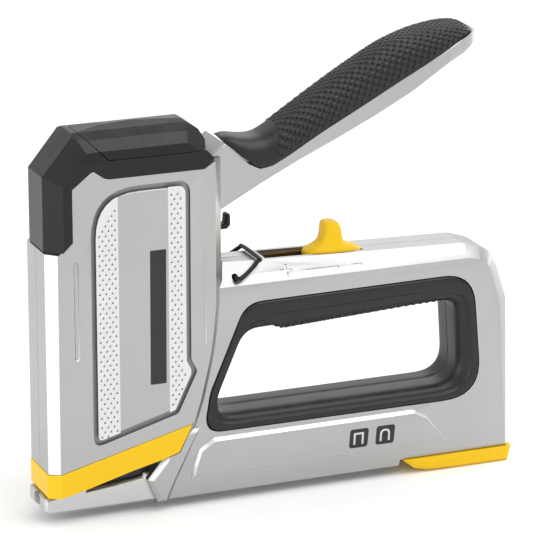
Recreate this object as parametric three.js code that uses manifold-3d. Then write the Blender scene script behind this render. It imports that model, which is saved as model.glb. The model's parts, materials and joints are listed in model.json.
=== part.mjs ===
// A heavy-duty hand staple gun (cable tacker) as an assembly of its separate pieces.
// Millimetres, +Z up. The nose points to -X, the squeezing lever and the handle run to +X, and the
// tool's mid-plane is Y = 0. Outlines are drawn in tool coordinates: X = 0 is the head's front face
// and Z = 0 is a hair above the magazine's bottom. The whole tool is then moved so that the origin
// is at the centre of its footprint, on the surface that it stands on.
import * as THREE from "three";
import { mergeVertices } from "three/addons/utils/BufferGeometryUtils.js";
import Module from "manifold-3d";

const wasm = await Module();
wasm.setup();

// ---------------------------------------------------------------- driving dimensions
const GAP = 0.3; // assembly clearance between neighbouring pieces

const HEAD_WIDTH = 32; // across the head castings
const HEAD_DEPTH = 79.5; // front face to the rear edge of the head
const HEAD_TOP = 151; // top of the castings, under the cap
const HEAD_CHAMFER = 4.5; // vertical edges of the head
const FRAME_WIDTH = 27; // across the handle frame
const TAIL = 219; // rear end of the handle frame
const RAIL_TOP = 100.6; // top of the handle rail, at its front
const RAIL_FALL = 3; // how far the rail drops towards the tail
const BASE = -1; // bottom of the castings
const WALL = 3.6; // casting wall beside the mechanism

const GUARD_PROUD = 1.5; // black nose guard, in front of the head
const GUARD_SIDE = 0.6; // black guard, outside the head's sides
const GUARD_WALL = 2.6; // its wall thickness
const CROWN_TOP = HEAD_TOP + 15.6; // highest point of the cap
const CROWN_CHAMFER = 7.5; // slanted edges of guard and cap

const BAND_PROUD = 0.3; // yellow nose band, outside the head
const BAND_WALL = 1.6;

const PLATE_GROOVE = 2.6; // shadow groove round each side plate
const PLATE_DEPTH = 1.8;

const PANEL_WIDTH = 30; // raised pads beside the magazine
const LINER_WIDTH = 28.4; // soft hand-grip liner
const LINER_TOP = 85.1;
const LINER_FLOOR = 27;

const NOSE_WIDTH = 22; // steel nose frame
const NOTCH_WIDTH = 7.5; // cable notch between its two prongs
const NOTCH_TOP = 6;
const STAPLE_CROWN = 10.6; // outside width of a staple
const STAPLE_WIRE = 0.6;
const STAPLE_TOP = 14.3;
const STAPLE_STICK = 50; // length of one stick of staples
const BLADE_THICKNESS = 1.2;
const BLADE_X = 5.3; // front of the driver blade
const MAGAZINE_FRONT = BLADE_X + BLADE_THICKNESS + 0.9; // front ends of channel, rail and staples

const CHANNEL_WIDTH = 16; // fixed magazine channel
const CHANNEL_TOP = 18.2;
const CHANNEL_WALL = 1.3;
const MAGAZINE_PLATE = 12.8; // width of the sliding rail's bottom plate
const FOOT_DROP = 5.5; // yellow foot, below Z = 0
const FOOT_SEAM = 1.6; // joint line between foot and castings
const FOOT_LENGTH = 55;
const FOOT_WIDTH = FRAME_WIDTH + 0.6;

const PIVOT = [HEAD_DEPTH - 23.5, 118]; // lever pivot, X and Z
const PIN_RADIUS = 3;
const LEVER_WIDTH = HEAD_WIDTH - 8.4;
const LEVER_WALL = 2.3;
const LEVER_TIP = HEAD_DEPTH + 121;
const GRIP_WIDTH = LEVER_WIDTH + 0.8;

const SLOT_FRONT = HEAD_DEPTH + 22; // power slider's slot in the rail
const SLOT_REAR = HEAD_DEPTH + 68;
const TUNNEL_WIDTH = 11.6; // tunnel for the leaf springs
const TUNNEL_FLOOR = 87.7;
const TUNNEL_ROOF = 96.6;
const GUIDE_WALL = 0.9; // steel guide lining the tunnel
const LEAF_WIDTH = 8.4;
const MAIN_LEAF = 1.4; // thickness of each leaf
const SECOND_LEAF = 1.0;

const BAIL_PIVOT = [HEAD_DEPTH + 6, 95.2]; // wire bail, X and Z
const BAIL_WIRE = 1.9; // wire diameter
const BAIL_REACH = 13.5; // pivot to crossbar
const BAIL_REST = THREE.MathUtils.degToRad(30); // angle above +X while it lies on the rail
const BAIL_SPREAD = 13.9; // arms at the pivot, from the mid-plane
const BAIL_BAR = 10.4; // half length of the crossbar

const SCREW_HEAD = 2.9; // radii
const SCREW_SHANK = 1.5;

// ---------------------------------------------------------------- solids from three.js shapes
/** A manifold solid from a closed geometry. */
function solid(geometry) {
  geometry.deleteAttribute("normal");
  geometry.deleteAttribute("uv");
  const merged = mergeVertices(geometry, 1e-4);
  return new wasm.Manifold(
    new wasm.Mesh({
      numProp: 3,
      vertProperties: merged.attributes.position.array,
      triVerts: new Uint32Array(merged.index.array),
    }),
  );
}

/** The three.js geometry of a manifold solid. */
function geometryOf(manifold) {
  const mesh = manifold.getMesh();
  const geometry = new THREE.BufferGeometry();
  geometry.setAttribute("position", new THREE.BufferAttribute(mesh.vertProperties, 3));
  geometry.setIndex(new THREE.BufferAttribute(mesh.triVerts, 1));
  geometry.computeVertexNormals();
  return geometry;
}

/** A closed outline through [x, y, radius] corners; a corner with a radius is rounded. */
function outline(corners) {
  const shape = new THREE.Shape();
  corners.forEach(([x, y, radius = 0], i) => {
    const at = new THREE.Vector2(x, y);
    const back = new THREE.Vector2(...corners.at(i - 1)).sub(at);
    const ahead = new THREE.Vector2(...corners[(i + 1) % corners.length]).sub(at);
    const half = Math.acos(THREE.MathUtils.clamp(back.dot(ahead) / back.length() / ahead.length(), -1, 1)) / 2;
    const run = Math.min(radius / Math.tan(half), back.length() * 0.49, ahead.length() * 0.49);
    const into = back.setLength(run).add(at);
    const out = ahead.setLength(run).add(at);
    if (i === 0) shape.moveTo(into.x, into.y);
    else shape.lineTo(into.x, into.y);
    if (run > 0) shape.quadraticCurveTo(x, y, out.x, out.y);
  });
  shape.closePath();
  return shape;
}

/** The corners moved inwards by distance, or outwards where it is negative. */
function inset(corners, distance) {
  const points = corners.map(([x, y]) => new THREE.Vector2(x, y));
  const turn = Math.sign(THREE.ShapeUtils.area(points));
  return points.map((at, i) => {
    const a = at.clone().sub(points.at(i - 1)).normalize();
    const b = points[(i + 1) % points.length].clone().sub(at).normalize();
    const normal = new THREE.Vector2(-a.y - b.y, a.x + b.x).normalize();
    const stretch = Math.max(normal.dot(new THREE.Vector2(-a.y, a.x)), 0.3);
    const moved = at.clone().addScaledVector(normal, (turn * distance) / stretch);
    const radius = corners[i][2] ?? 0;
    return [moved.x, moved.y, radius && Math.max(radius - distance, radius / 2)];
  });
}

/** A side outline in X and Z, extruded across the tool and centred on y. */
function prism(corners, width, { chamfer = 0, y = 0, steps = 4, facets = 1 } = {}) {
  const geometry = new THREE.ExtrudeGeometry(outline(corners), {
    depth: width - 2 * chamfer,
    curveSegments: steps,
    bevelEnabled: chamfer > 0,
    bevelThickness: chamfer,
    bevelSize: chamfer,
    bevelOffset: -chamfer,
    bevelSegments: facets,
  });
  geometry.translate(0, 0, chamfer - width / 2);
  geometry.rotateX(Math.PI / 2);
  geometry.translate(0, y, 0);
  return solid(geometry);
}

/** A block from its limits in X and Z and its width across the tool. */
function block(x0, x1, width, z0, z1, y = 0) {
  const geometry = new THREE.BoxGeometry(x1 - x0, width, z1 - z0);
  geometry.translate((x0 + x1) / 2, y, (z0 + z1) / 2);
  return solid(geometry);
}

/** A symmetric cross-section, given as its right half in Y and Z, run along the tool from x0 to x1. */
function lengthwise(half, x0, x1) {
  const mirrored = half.map(([y, z]) => [-y, z]).reverse();
  const section = new THREE.Shape([...half, ...mirrored].map(([y, z]) => new THREE.Vector2(y, z)));
  const bar = new THREE.ExtrudeGeometry(section, { depth: x1 - x0, bevelEnabled: false });
  return solid(bar.rotateX(Math.PI / 2).rotateZ(Math.PI / 2).translate(x0, 0, 0));
}

/** A round bar across the tool, centred on y. */
function crossBar(x, z, radius, width, y = 0, sides = 20) {
  const geometry = new THREE.CylinderGeometry(radius, radius, width, sides);
  geometry.translate(x, y, z);
  return solid(geometry);
}

/** A round bar along the tool. */
function longBar(x0, x1, z, radius, sides = 12) {
  const geometry = new THREE.CylinderGeometry(radius, radius, x1 - x0, sides);
  geometry.rotateZ(Math.PI / 2);
  geometry.translate((x0 + x1) / 2, 0, z);
  return solid(geometry);
}

/** A round wire along a curve. */
function wire(curve, diameter, steps, sides = 8) {
  const section = new THREE.Shape(
    new THREE.EllipseCurve(0, 0, diameter / 2, diameter / 2).getPoints(sides).slice(0, sides),
  );
  return solid(new THREE.ExtrudeGeometry(section, { steps, extrudePath: curve, bevelEnabled: false }));
}

/** A coil spring's centre line, round an axis along "x" or "y". */
class Helix extends THREE.Curve {
  constructor(axis, start, length, radius, turns, centre) {
    super();
    Object.assign(this, { axis, start, length, radius, turns, centre });
  }
  getPoint(t, target = new THREE.Vector3()) {
    const angle = 2 * Math.PI * this.turns * t;
    const along = this.start + this.length * t;
    const [c, z] = this.centre;
    const side = this.radius * Math.cos(angle);
    const up = z + this.radius * Math.sin(angle);
    return this.axis === "x" ? target.set(along, c + side, up) : target.set(c + side, along, up);
  }
}

const joined = (first, ...rest) => rest.reduce((sum, next) => sum.add(next), first);
const cut = (first, ...rest) => rest.reduce((left, next) => left.subtract(next), first);

// ---------------------------------------------------------------- finishes
const aluminium = () => new THREE.MeshStandardMaterial({ color: 0xbfc1c2, roughness: 0.38, metalness: 0.85 });
const plateGrey = () => new THREE.MeshStandardMaterial({ color: 0xc6c7c6, roughness: 0.5, metalness: 0.3 });
const blackPlastic = () => new THREE.MeshStandardMaterial({ color: 0x38393b, roughness: 0.55, metalness: 0 });
const rubber = () => new THREE.MeshStandardMaterial({ color: 0x3c3d3e, roughness: 0.8, metalness: 0 });
const yellow = () => new THREE.MeshStandardMaterial({ color: 0xf6cc14, roughness: 0.42, metalness: 0 });
const steel = () => new THREE.MeshStandardMaterial({ color: 0xb4b6b8, roughness: 0.35, metalness: 1 });
const springSteel = () => new THREE.MeshStandardMaterial({ color: 0x6f6e6a, roughness: 0.4, metalness: 1 });
const zincYellow = () => new THREE.MeshStandardMaterial({ color: 0x8c7442, roughness: 0.45, metalness: 0.9 });
const blackSteel = () => new THREE.MeshStandardMaterial({ color: 0x1c1d1e, roughness: 0.45, metalness: 0.6 });

// ---------------------------------------------------------------- the tool and its groups
const tool = new THREE.Group();
tool.name = "staple_gun";
tool.position.set(-(TAIL - GUARD_PROUD) / 2, 0, FOOT_DROP);

/** A group placed at a point of the tool; its pieces are drawn in tool coordinates. */
function assembly(name, x = 0, y = 0, z = 0, parent = tool) {
  const group = new THREE.Group();
  group.name = name;
  group.userData.origin = new THREE.Vector3(x, y, z);
  group.position.copy(group.userData.origin);
  if (parent.userData.origin) group.position.sub(parent.userData.origin);
  parent.add(group);
  return group;
}

/** Adds a piece, drawn in tool coordinates, to a group. */
function fit(group, name, manifold, finish) {
  const geometry = geometryOf(manifold);
  const { x, y, z } = group.userData.origin;
  geometry.translate(-x, -y, -z);
  const mesh = new THREE.Mesh(geometry, finish());
  mesh.name = name;
  group.add(mesh);
  return mesh;
}

const H = HEAD_DEPTH;
const RAIL_START = H + 18.5; // the rail falls from here to the tail
const RAIL_PITCH = Math.atan2(RAIL_FALL, TAIL - 25 - RAIL_START);
const railAt = (x) => RAIL_TOP - Math.tan(RAIL_PITCH) * (x - RAIL_START);

// ---------------------------------------------------------------- outlines that pieces share
const headOutline = [
  [0, 7.5],
  [17.8, 11.2],
  [H - 43, 16.1],
  [H - 17.5, 18],
  [H - 11, 31.5],
  [H - 7.5, 42],
  [H - 2, 65, 150],
  [H, 86],
  [H, HEAD_TOP - 1],
  [H - 5, HEAD_TOP + 5],
  [0, HEAD_TOP + 5],
];

/** The short leg that carries the head's sides down to the base, behind the nose. */
const legOutline = [
  [H - 35.7, 9.8],
  [H - 31, BASE],
  [H - 26.5, BASE],
  [H - 22, 9],
  [H - 11.5, 30.5],
  [H - 26, 30.5],
  [H - 28.6, 18.4],
];

const frameOutline = [
  [H - 29.5, BASE - 6],
  [TAIL + 0.4, BASE - 6],
  [TAIL - 4, 70.7, 20],
  [TAIL - 11, railAt(TAIL - 11) - 4, 16],
  [TAIL - 25, railAt(TAIL - 25), 10],
  [RAIL_START, RAIL_TOP],
  [H - 2, RAIL_TOP + 0.8],
  [H - 29.5, RAIL_TOP],
];

const handOpening = [
  [H - 9.8, LINER_FLOOR, 11],
  [H - 6.6, 45.5, 20],
  [H + 10, LINER_TOP - 1, 12],
  [TAIL - 22, LINER_TOP, 16],
  [TAIL - 17, LINER_FLOOR, 17],
];

const handHole = [
  [H - 5, LINER_FLOOR + 7, 8],
  [H + 11, LINER_TOP - 14.3, 13],
  [H + 25, LINER_TOP - 14.5, 5],
  [H + 29.5, LINER_TOP - 16.3, 7],
  [TAIL - 42, LINER_TOP - 13, 10],
  [TAIL - 29.5, LINER_TOP - 12.2, 12],
  [TAIL - 27, LINER_FLOOR + 7, 12],
];

const platePanel = [
  [19, 28.2, 4],
  [H - 22, 38.9, 4],
  [H - 13.2, 57.2, 3],
  [H - 16, 62.8, 3],
  [H - 16, HEAD_TOP - 8.6, 6],
  [19, HEAD_TOP - 8.6, 22],
];

/** Side region of the black guard; below is how far it reaches past its own lower edge. */
const guardRegion = (below = 0) => [
  [-8, 115.8 - below],
  [5, 115.8 - below],
  [10.9 + below, 120.6 - below],
  [10.9 + below, HEAD_TOP - 7.5 - below],
  [19.6 + below, HEAD_TOP - 0.7 - below],
  [21.4 - below, HEAD_TOP - 0.7 - below],
  [25.3, HEAD_TOP - 3.9 - below],
  [27.5, HEAD_TOP - 4.5 - below],
  [H - 9.5, HEAD_TOP - 4.5 - below],
  [H - 4, HEAD_TOP - 1 - below],
  [H + 4, HEAD_TOP - 1 - below],
  [H + 4, CROWN_TOP + 6],
  [-8, CROWN_TOP + 6],
];

/** Side region of the top cap, from its joint line with the guard upwards. */
const capRegion = (below = 0) => [
  [27.6 - below, CROWN_TOP - 12 - below],
  [H - 8.4 + below, CROWN_TOP - 12.2 - below],
  [H - 7.3 + below, CROWN_TOP - 9],
  [H - 11 + below, CROWN_TOP - 2],
  [H - 13.5 + below, CROWN_TOP + 6],
  [12 - below, CROWN_TOP + 6],
  [16.2 - below, CROWN_TOP - 0.6],
];

const crownOutline = [
  [-GUARD_PROUD, 104],
  [-GUARD_PROUD, HEAD_TOP - 3],
  [14.4, CROWN_TOP - 1.6],
  [29, CROWN_TOP - 0.3],
  [43, CROWN_TOP],
  [H - 15.5, CROWN_TOP - 0.6],
  [H - 7.4, CROWN_TOP - 6],
  [H + 0.6, CROWN_TOP - 14.5],
  [H + 0.6, 104],
];

/** Side region of the yellow nose band. */
const bandRegion = (grow = 0) => [
  [-4, 16.6 + grow],
  [5.4, 18.3 + grow],
  [H - 15.5 + grow, 33.3 + grow],
  [H - 21.6 + grow, 21.3 - grow],
  [H - 28.4, 19.1 - grow],
  [H - 43.1, 15.7 - grow],
  [17.8, 10.6 - grow],
  [3.4, 7.2 - grow],
  [-4, 6.2 - grow],
];

const noseOutline = [
  [-1.5, 5.7],
  [-1.5, 0.3],
  [0.3, -1.5],
  [H - 30, -1.5],
  [H - 30, 12],
  [H - 36, 12],
  [H - 36.8, 10.2],
  [17.8, 7.9],
  [17.8, 10.2],
  [3.4, 6.8],
];

const footOutline = [
  [TAIL - FOOT_LENGTH - 5, FOOT_SEAM + 4],
  [TAIL - FOOT_LENGTH + 6, -3.2, 3],
  [TAIL - FOOT_LENGTH + 12.5, -FOOT_DROP + 0.6, 4],
  [TAIL - 26, -FOOT_DROP],
  [TAIL - 3.2, -FOOT_DROP],
  [TAIL - 0.5, FOOT_SEAM + 4],
];

const screws = {
  head_upper_screw: [14.8, 138.5, HEAD_WIDTH],
  head_lower_screw: [11.8, 50, HEAD_WIDTH],
  head_rear_screw: [H - 9, 62, HEAD_WIDTH],
  grip_front_screw: [H + 12.5, 21.4, PANEL_WIDTH],
  grip_rear_screw: [TAIL - 12.8, 44, FRAME_WIDTH],
  heel_screw: [TAIL - 14.5, 22.6, FRAME_WIDTH],
};

// ---------------------------------------------------------------- castings
/** The outside of both body castings, before they are hollowed and parted. */
function castingOutside() {
  const side = FRAME_WIDTH / 2;
  const bar = lengthwise(
    [
      [side - 1.4, BASE],
      [side, 5],
      [side, RAIL_TOP - 8.6],
      [side - 7, RAIL_TOP + 1.2],
    ],
    40,
    TAIL + 40,
  );
  const footSpace = prism(
    [
      [TAIL - FOOT_LENGTH - 2.6, BASE - 8],
      [TAIL - FOOT_LENGTH - 1, FOOT_SEAM + GAP],
      [TAIL + 8, FOOT_SEAM + GAP],
      [TAIL + 8, BASE - 8],
    ],
    HEAD_WIDTH,
  );
  const frame = cut(prism(frameOutline, FRAME_WIDTH, { chamfer: 5, steps: 9 }).intersect(bar), footSpace);
  const pads = prism(
    [
      [H - 16, 8],
      [H - 12, 20.6],
      [H - 5, 24.9, 4],
      [TAIL - 50, 25, 5],
      [TAIL - 43, 21.2, 3],
      [TAIL - 33, 8],
    ],
    PANEL_WIDTH,
    { chamfer: 1.4, steps: 3 },
  );
  const head = cut(
    joined(
      prism(headOutline, HEAD_WIDTH, { chamfer: HEAD_CHAMFER }),
      prism(legOutline, HEAD_WIDTH, { chamfer: 2 }),
    ),
    prism(guardRegion(GAP), HEAD_WIDTH + 4),
    prism(bandRegion(GAP), HEAD_WIDTH + 4),
  );
  const inner = HEAD_WIDTH + 2 * GUARD_SIDE - 2 * GUARD_WALL - 2 * GAP;
  const crownCore = prism(
    [
      [1.2, 108],
      [H - 6, 108],
      [H - 3.5, HEAD_TOP - 7],
      [H - 9, HEAD_TOP],
      [12, HEAD_TOP],
      [1.2, HEAD_TOP - 9],
    ],
    inner,
    { chamfer: CROWN_CHAMFER - 1 },
  );
  const bandCore = prism(
    [
      [BAND_WALL, 7.9],
      [17.8, 11.4],
      [H - 43, 16.4],
      [H - 30, 19.5],
      [H - 12, 36],
      [BAND_WALL, 24],
    ],
    HEAD_WIDTH + 2 * BAND_PROUD - 2 * BAND_WALL - 2 * GAP,
    { chamfer: 3.6 },
  );
  return joined(frame, pads, head, crownCore, bandCore);
}

/** A long shallow groove with sloped walls and snipped ends, in one side of the head. */
function sideGroove(x, z0, z1, width, side) {
  const half = width / 2;
  const corners = [
    [x - half * 0.5, z0 - half],
    [x + half * 0.5, z0 - half],
    [x + half, z0],
    [x + half, z1],
    [x + half * 0.5, z1 + half],
    [x - half * 0.5, z1 + half],
    [x - half, z1],
    [x - half, z0],
  ];
  return prism(corners, width * 0.6, { chamfer: width * 0.22, y: (side * HEAD_WIDTH) / 2 });
}

/** An engraved stroke on the rail's sloped edge, above the power slider's scale. */
function railStroke(x0, x1, height, z, side) {
  const rise = [7, 9.8];
  const stroke = new THREE.BoxGeometry(x1 - x0, height, 0.8);
  stroke.rotateX(-side * Math.atan2(rise[1], rise[0]));
  const y = FRAME_WIDTH / 2 - ((z - RAIL_TOP + 8.6) * rise[0]) / rise[1];
  stroke.translate((x0 + x1) / 2, side * y, z);
  return solid(stroke);
}

/** Both sides' grooves and scale marks: a plus, a long dash and a minus. */
function engravings(side) {
  const scale = RAIL_TOP - 5;
  return joined(
    sideGroove(12.5, 69.4, 110.3, 2.3, side),
    sideGroove(H - 9.5, 69.2, 109.8, 1, side),
    railStroke(SLOT_FRONT + 4.8, SLOT_FRONT + 10.4, 1.1, scale, side),
    railStroke(SLOT_FRONT + 7.05, SLOT_FRONT + 8.15, 5.6, scale, side),
    railStroke(SLOT_FRONT + 16.4, SLOT_FRONT + 31.9, 1.2, scale - 1, side),
    railStroke(SLOT_FRONT + 37.8, SLOT_FRONT + 43, 1.2, scale - 1, side),
  );
}

/** Everything that is taken out of the two castings. */
function castingHollows() {
  const shaft = HEAD_WIDTH - 2 * WALL;
  const boss = screws.head_upper_screw;
  const upperHead = cut(
    block(4.5, H - 8, shaft, 73.7, HEAD_TOP - 4),
    crossBar(boss[0], boss[1], 4, HEAD_WIDTH),
  );
  return joined(
    upperHead,
    block(20, H - 18, shaft - 2, 40, 66),
    block(H - 22, H + 6, LEVER_WIDTH + 1.2, RAIL_TOP + 3.4, CROWN_TOP),
    block(BLADE_X - 0.4, BLADE_X + BLADE_THICKNESS + 0.5, STAPLE_CROWN + 1, 0, 80),
    block(H - 20, TAIL - 45, TUNNEL_WIDTH, TUNNEL_FLOOR, TUNNEL_ROOF),
    block(SLOT_FRONT, SLOT_REAR, TUNNEL_WIDTH, TUNNEL_ROOF - 1, RAIL_TOP + 5),
    block(MAGAZINE_FRONT - 0.4, TAIL + 2, CHANNEL_WIDTH + 2 * GAP, BASE - 2, CHANNEL_TOP + GAP),
    prism(inset(noseOutline, -GAP), NOSE_WIDTH + 2 * GAP),
    prism(handOpening, HEAD_WIDTH + 2, { steps: 9 }),
    prism(platePanel, 2 * PLATE_DEPTH, { y: HEAD_WIDTH / 2, steps: 8 }),
    prism(platePanel, 2 * PLATE_DEPTH, { y: -HEAD_WIDTH / 2, steps: 8 }),
    engravings(-1),
    engravings(1),
    crossBar(...PIVOT, PIN_RADIUS + GAP, HEAD_WIDTH - 3.4),
    crossBar(TAIL - 52, 94, 1.8, 19),
    crossBar(...BAIL_PIVOT, BAIL_WIRE / 2 + 2 * GAP, 2 * BAIL_SPREAD),
    ...Object.values(screws).flatMap(([x, z, width]) => [
      crossBar(x, z, SCREW_SHANK + GAP, width - 2, -0.5),
      crossBar(x, z, SCREW_HEAD + GAP, 5.6, width / 2),
    ]),
  );
}

/** One casting: side is -1 for the left half and +1 for the right half. */
function casting(whole, side) {
  const keep = block(-10, TAIL + 10, 40, -20, 220, side * (20 + GAP / 2));
  return whole.intersect(keep);
}

// ---------------------------------------------------------------- trim on the castings
/** Guard and cap in one, roofed towards the mid-plane, before they are parted and hollowed. */
function crown() {
  const width = HEAD_WIDTH + 2 * GUARD_SIDE;
  const half = width / 2;
  const roof = lengthwise(
    [
      [half, 90],
      [half, CROWN_TOP - 12.6],
      [half - 0.4, CROWN_TOP - 8.1],
      [half - 4.6, CROWN_TOP - 3.9],
      [half - 10, CROWN_TOP - 1.5],
      [0.5, CROWN_TOP],
    ],
    -20,
    TAIL,
  );
  return prism(crownOutline, width, { chamfer: CROWN_CHAMFER }).intersect(roof);
}

function frontGuard() {
  const width = HEAD_WIDTH + 2 * GUARD_SIDE;
  return cut(
    crown().intersect(prism(guardRegion(), width + 2)),
    prism(
      [
        [0.9, 100],
        [H + 6, 100],
        [H + 6, CROWN_TOP - 6],
        [14, CROWN_TOP - 6],
        [0.9, HEAD_TOP - 4],
      ],
      width - 2 * GUARD_WALL,
      { chamfer: CROWN_CHAMFER - 1 },
    ),
    prism(capRegion(GAP), width + 2),
    block(H - 22, H + 6, LEVER_WIDTH + 1.2, RAIL_TOP, CROWN_TOP + 2),
  );
}

function topCap() {
  const width = HEAD_WIDTH + 2 * GUARD_SIDE;
  return cut(
    crown().intersect(prism(capRegion(), width + 2)),
    prism(
      [
        [20, HEAD_TOP],
        [H - 8, HEAD_TOP],
        [H - 14, CROWN_TOP - 9],
        [H - 22, CROWN_TOP - 6],
        [26, CROWN_TOP - 6],
      ],
      width - 2 * GUARD_WALL - 4,
      { chamfer: 3.5 },
    ),
  );
}

function noseBand() {
  const width = HEAD_WIDTH + 2 * BAND_PROUD;
  const outer = [
    [H - 24, -20],
    [H - 17.5, 18],
    ...headOutline.slice(4, -1),
    [-BAND_PROUD, HEAD_TOP],
    [-BAND_PROUD, -20],
  ];
  return cut(
    prism(outer, width, { chamfer: HEAD_CHAMFER }).intersect(prism(bandRegion(), width + 2)),
    prism(
      [
        [BAND_WALL - GAP, 0],
        [H, 0],
        [H, 50],
        [BAND_WALL - GAP, 50],
      ],
      width - 2 * BAND_WALL,
      { chamfer: 3.6 },
    ),
  );
}

function sidePlate(side) {
  const thickness = PLATE_DEPTH - GAP + 0.2;
  const y = side * (HEAD_WIDTH / 2 + 0.2 - thickness / 2);
  return prism(inset(platePanel, PLATE_GROOVE), thickness, { y, chamfer: 0.4, steps: 8 });
}

function gripLiner() {
  const body = prism(inset(handOpening, GAP), LINER_WIDTH, { chamfer: 1.6, steps: 9 });
  const flare = 3;
  return cut(
    body,
    prism(handHole, LINER_WIDTH + 2, { steps: 5 }),
    ...[-1, 1].map((side) =>
      prism(inset(handHole, -flare), 6, { y: (side * LINER_WIDTH) / 2, chamfer: flare - 0.05, steps: 5 }),
    ),
  );
}

function noseFrame() {
  const cheeks = prism(noseOutline, NOSE_WIDTH, { chamfer: 1.2 });
  return cut(
    cheeks,
    block(MAGAZINE_FRONT - GAP, H, CHANNEL_WIDTH + 2 * GAP, -4, 20),
    block(BLADE_X - 0.4, MAGAZINE_FRONT + 0.6, STAPLE_CROWN + 1, -4, 20),
    block(-4, MAGAZINE_FRONT + 0.6, NOTCH_WIDTH, -4, NOTCH_TOP - 1.2),
    crossNotch(),
  );
}

/** The arched roof of the cable notch. */
function crossNotch() {
  const arch = new THREE.CylinderGeometry(NOTCH_WIDTH / 2, NOTCH_WIDTH / 2, 12, 16);
  arch.rotateZ(Math.PI / 2).scale(1, 1, 0.5).translate(2, 0, NOTCH_TOP - 1.8);
  return solid(arch);
}

// ---------------------------------------------------------------- magazine
function magazineChannel() {
  const inside = CHANNEL_WIDTH - 2 * CHANNEL_WALL;
  return cut(
    block(MAGAZINE_FRONT, TAIL - 19, CHANNEL_WIDTH, BASE + 0.2, CHANNEL_TOP),
    block(0, TAIL, inside, -5, CHANNEL_TOP - CHANNEL_WALL),
  );
}

const RAIL_HALF = STAPLE_CROWN / 2 - STAPLE_WIRE - GAP; // inner rail, half width
const RAIL_HIGH = STAPLE_TOP - STAPLE_WIRE - GAP;
const STAPLE_FRONT = MAGAZINE_FRONT + 0.2;

function magazineRail() {
  return joined(
    block(MAGAZINE_FRONT + 0.1, TAIL - 19, MAGAZINE_PLATE, BASE + 0.3, 1.2),
    cut(
      block(MAGAZINE_FRONT + 0.1, TAIL - 19, 2 * RAIL_HALF, 1, RAIL_HIGH),
      block(0, TAIL, 2 * (RAIL_HALF - 1.2), 1.2, 20),
    ),
  );
}

function stapleStick() {
  return cut(
    block(STAPLE_FRONT, STAPLE_FRONT + STAPLE_STICK, STAPLE_CROWN, 3.5, STAPLE_TOP),
    block(0, 80, STAPLE_CROWN - 2 * STAPLE_WIRE, 0, STAPLE_TOP - STAPLE_WIRE),
  );
}

const PUSHER_X = STAPLE_FRONT + STAPLE_STICK + GAP;
const ROD_Z = 7;

function staplePusher() {
  return cut(
    block(PUSHER_X, PUSHER_X + 12, STAPLE_CROWN, 3, STAPLE_TOP),
    cut(
      block(0, TAIL, 2 * (RAIL_HALF + GAP), 0, RAIL_HIGH + GAP),
      block(0, TAIL, 2 * (RAIL_HALF - 1.2 - GAP), 0, 20),
    ),
    longBar(PUSHER_X - 1, PUSHER_X + 13, ROD_Z, 1.6),
  );
}

function magazineFoot() {
  const aboveSeam = block(0, TAIL + 5, HEAD_WIDTH, FOOT_SEAM, CHANNEL_TOP);
  const railSeat = block(0, TAIL - 18.7, CHANNEL_WIDTH + 2 * GAP, BASE - 0.1, CHANNEL_TOP);
  return joined(
    cut(prism(footOutline, FOOT_WIDTH, { chamfer: 1.5, steps: 3 }), railSeat, aboveSeam),
    block(TAIL - 18.6, TAIL - 4, CHANNEL_WIDTH - 1, FOOT_SEAM - 1, CHANNEL_TOP - 1),
  );
}

// ---------------------------------------------------------------- lever
const gripLower = [
  [H + 1.9, 155.6],
  [H + 5.5, 152.3],
  [H + 12.5, 145.6],
  [H + 17.7, 143],
  [H + 23, 143.9],
  [H + 30, 147.4],
  [H + 47, 157],
  [H + 64.3, 165.9],
  [H + 81.6, 175],
  [H + 99.1, 184],
  [H + 110.5, 190],
  [H + 117, 193.6],
];
const gripUpper = [
  [H + 108.9, 196.5],
  [H + 96.5, 195.6],
  [H + 86.5, 192.2],
  [H + 63.5, 181],
  [H + 40.4, 166.9],
  [H + 31.2, 160.8],
  [H + 22.9, 156.3],
  [H + 14.5, 154.3],
];
const armLower = [
  [LEVER_TIP - 3.5, 187.2, 3],
  [H + 105.2, 180.2],
  [H + 87.7, 169],
  [H + 70.2, 160],
  [H + 52.9, 152],
  [H + 35.6, 144.4],
  [H + 18.4, 136.1],
  [H - 1, 126],
];

/** The plan shape of the lever: straight sides and a rounded tip. */
function leverPlan(tip, width) {
  const shape = new THREE.Shape();
  shape.moveTo(PIVOT[0] - 26, -width / 2);
  shape.lineTo(tip - 15, -width / 2);
  shape.bezierCurveTo(tip - 4, -width / 2, tip, -width / 4, tip, 0);
  shape.bezierCurveTo(tip, width / 4, tip - 4, width / 2, tip - 15, width / 2);
  shape.lineTo(PIVOT[0] - 26, width / 2);
  const geometry = new THREE.ExtrudeGeometry(shape, { depth: 240, curveSegments: 9, bevelEnabled: false });
  return solid(geometry.translate(0, 0, -10));
}

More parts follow.
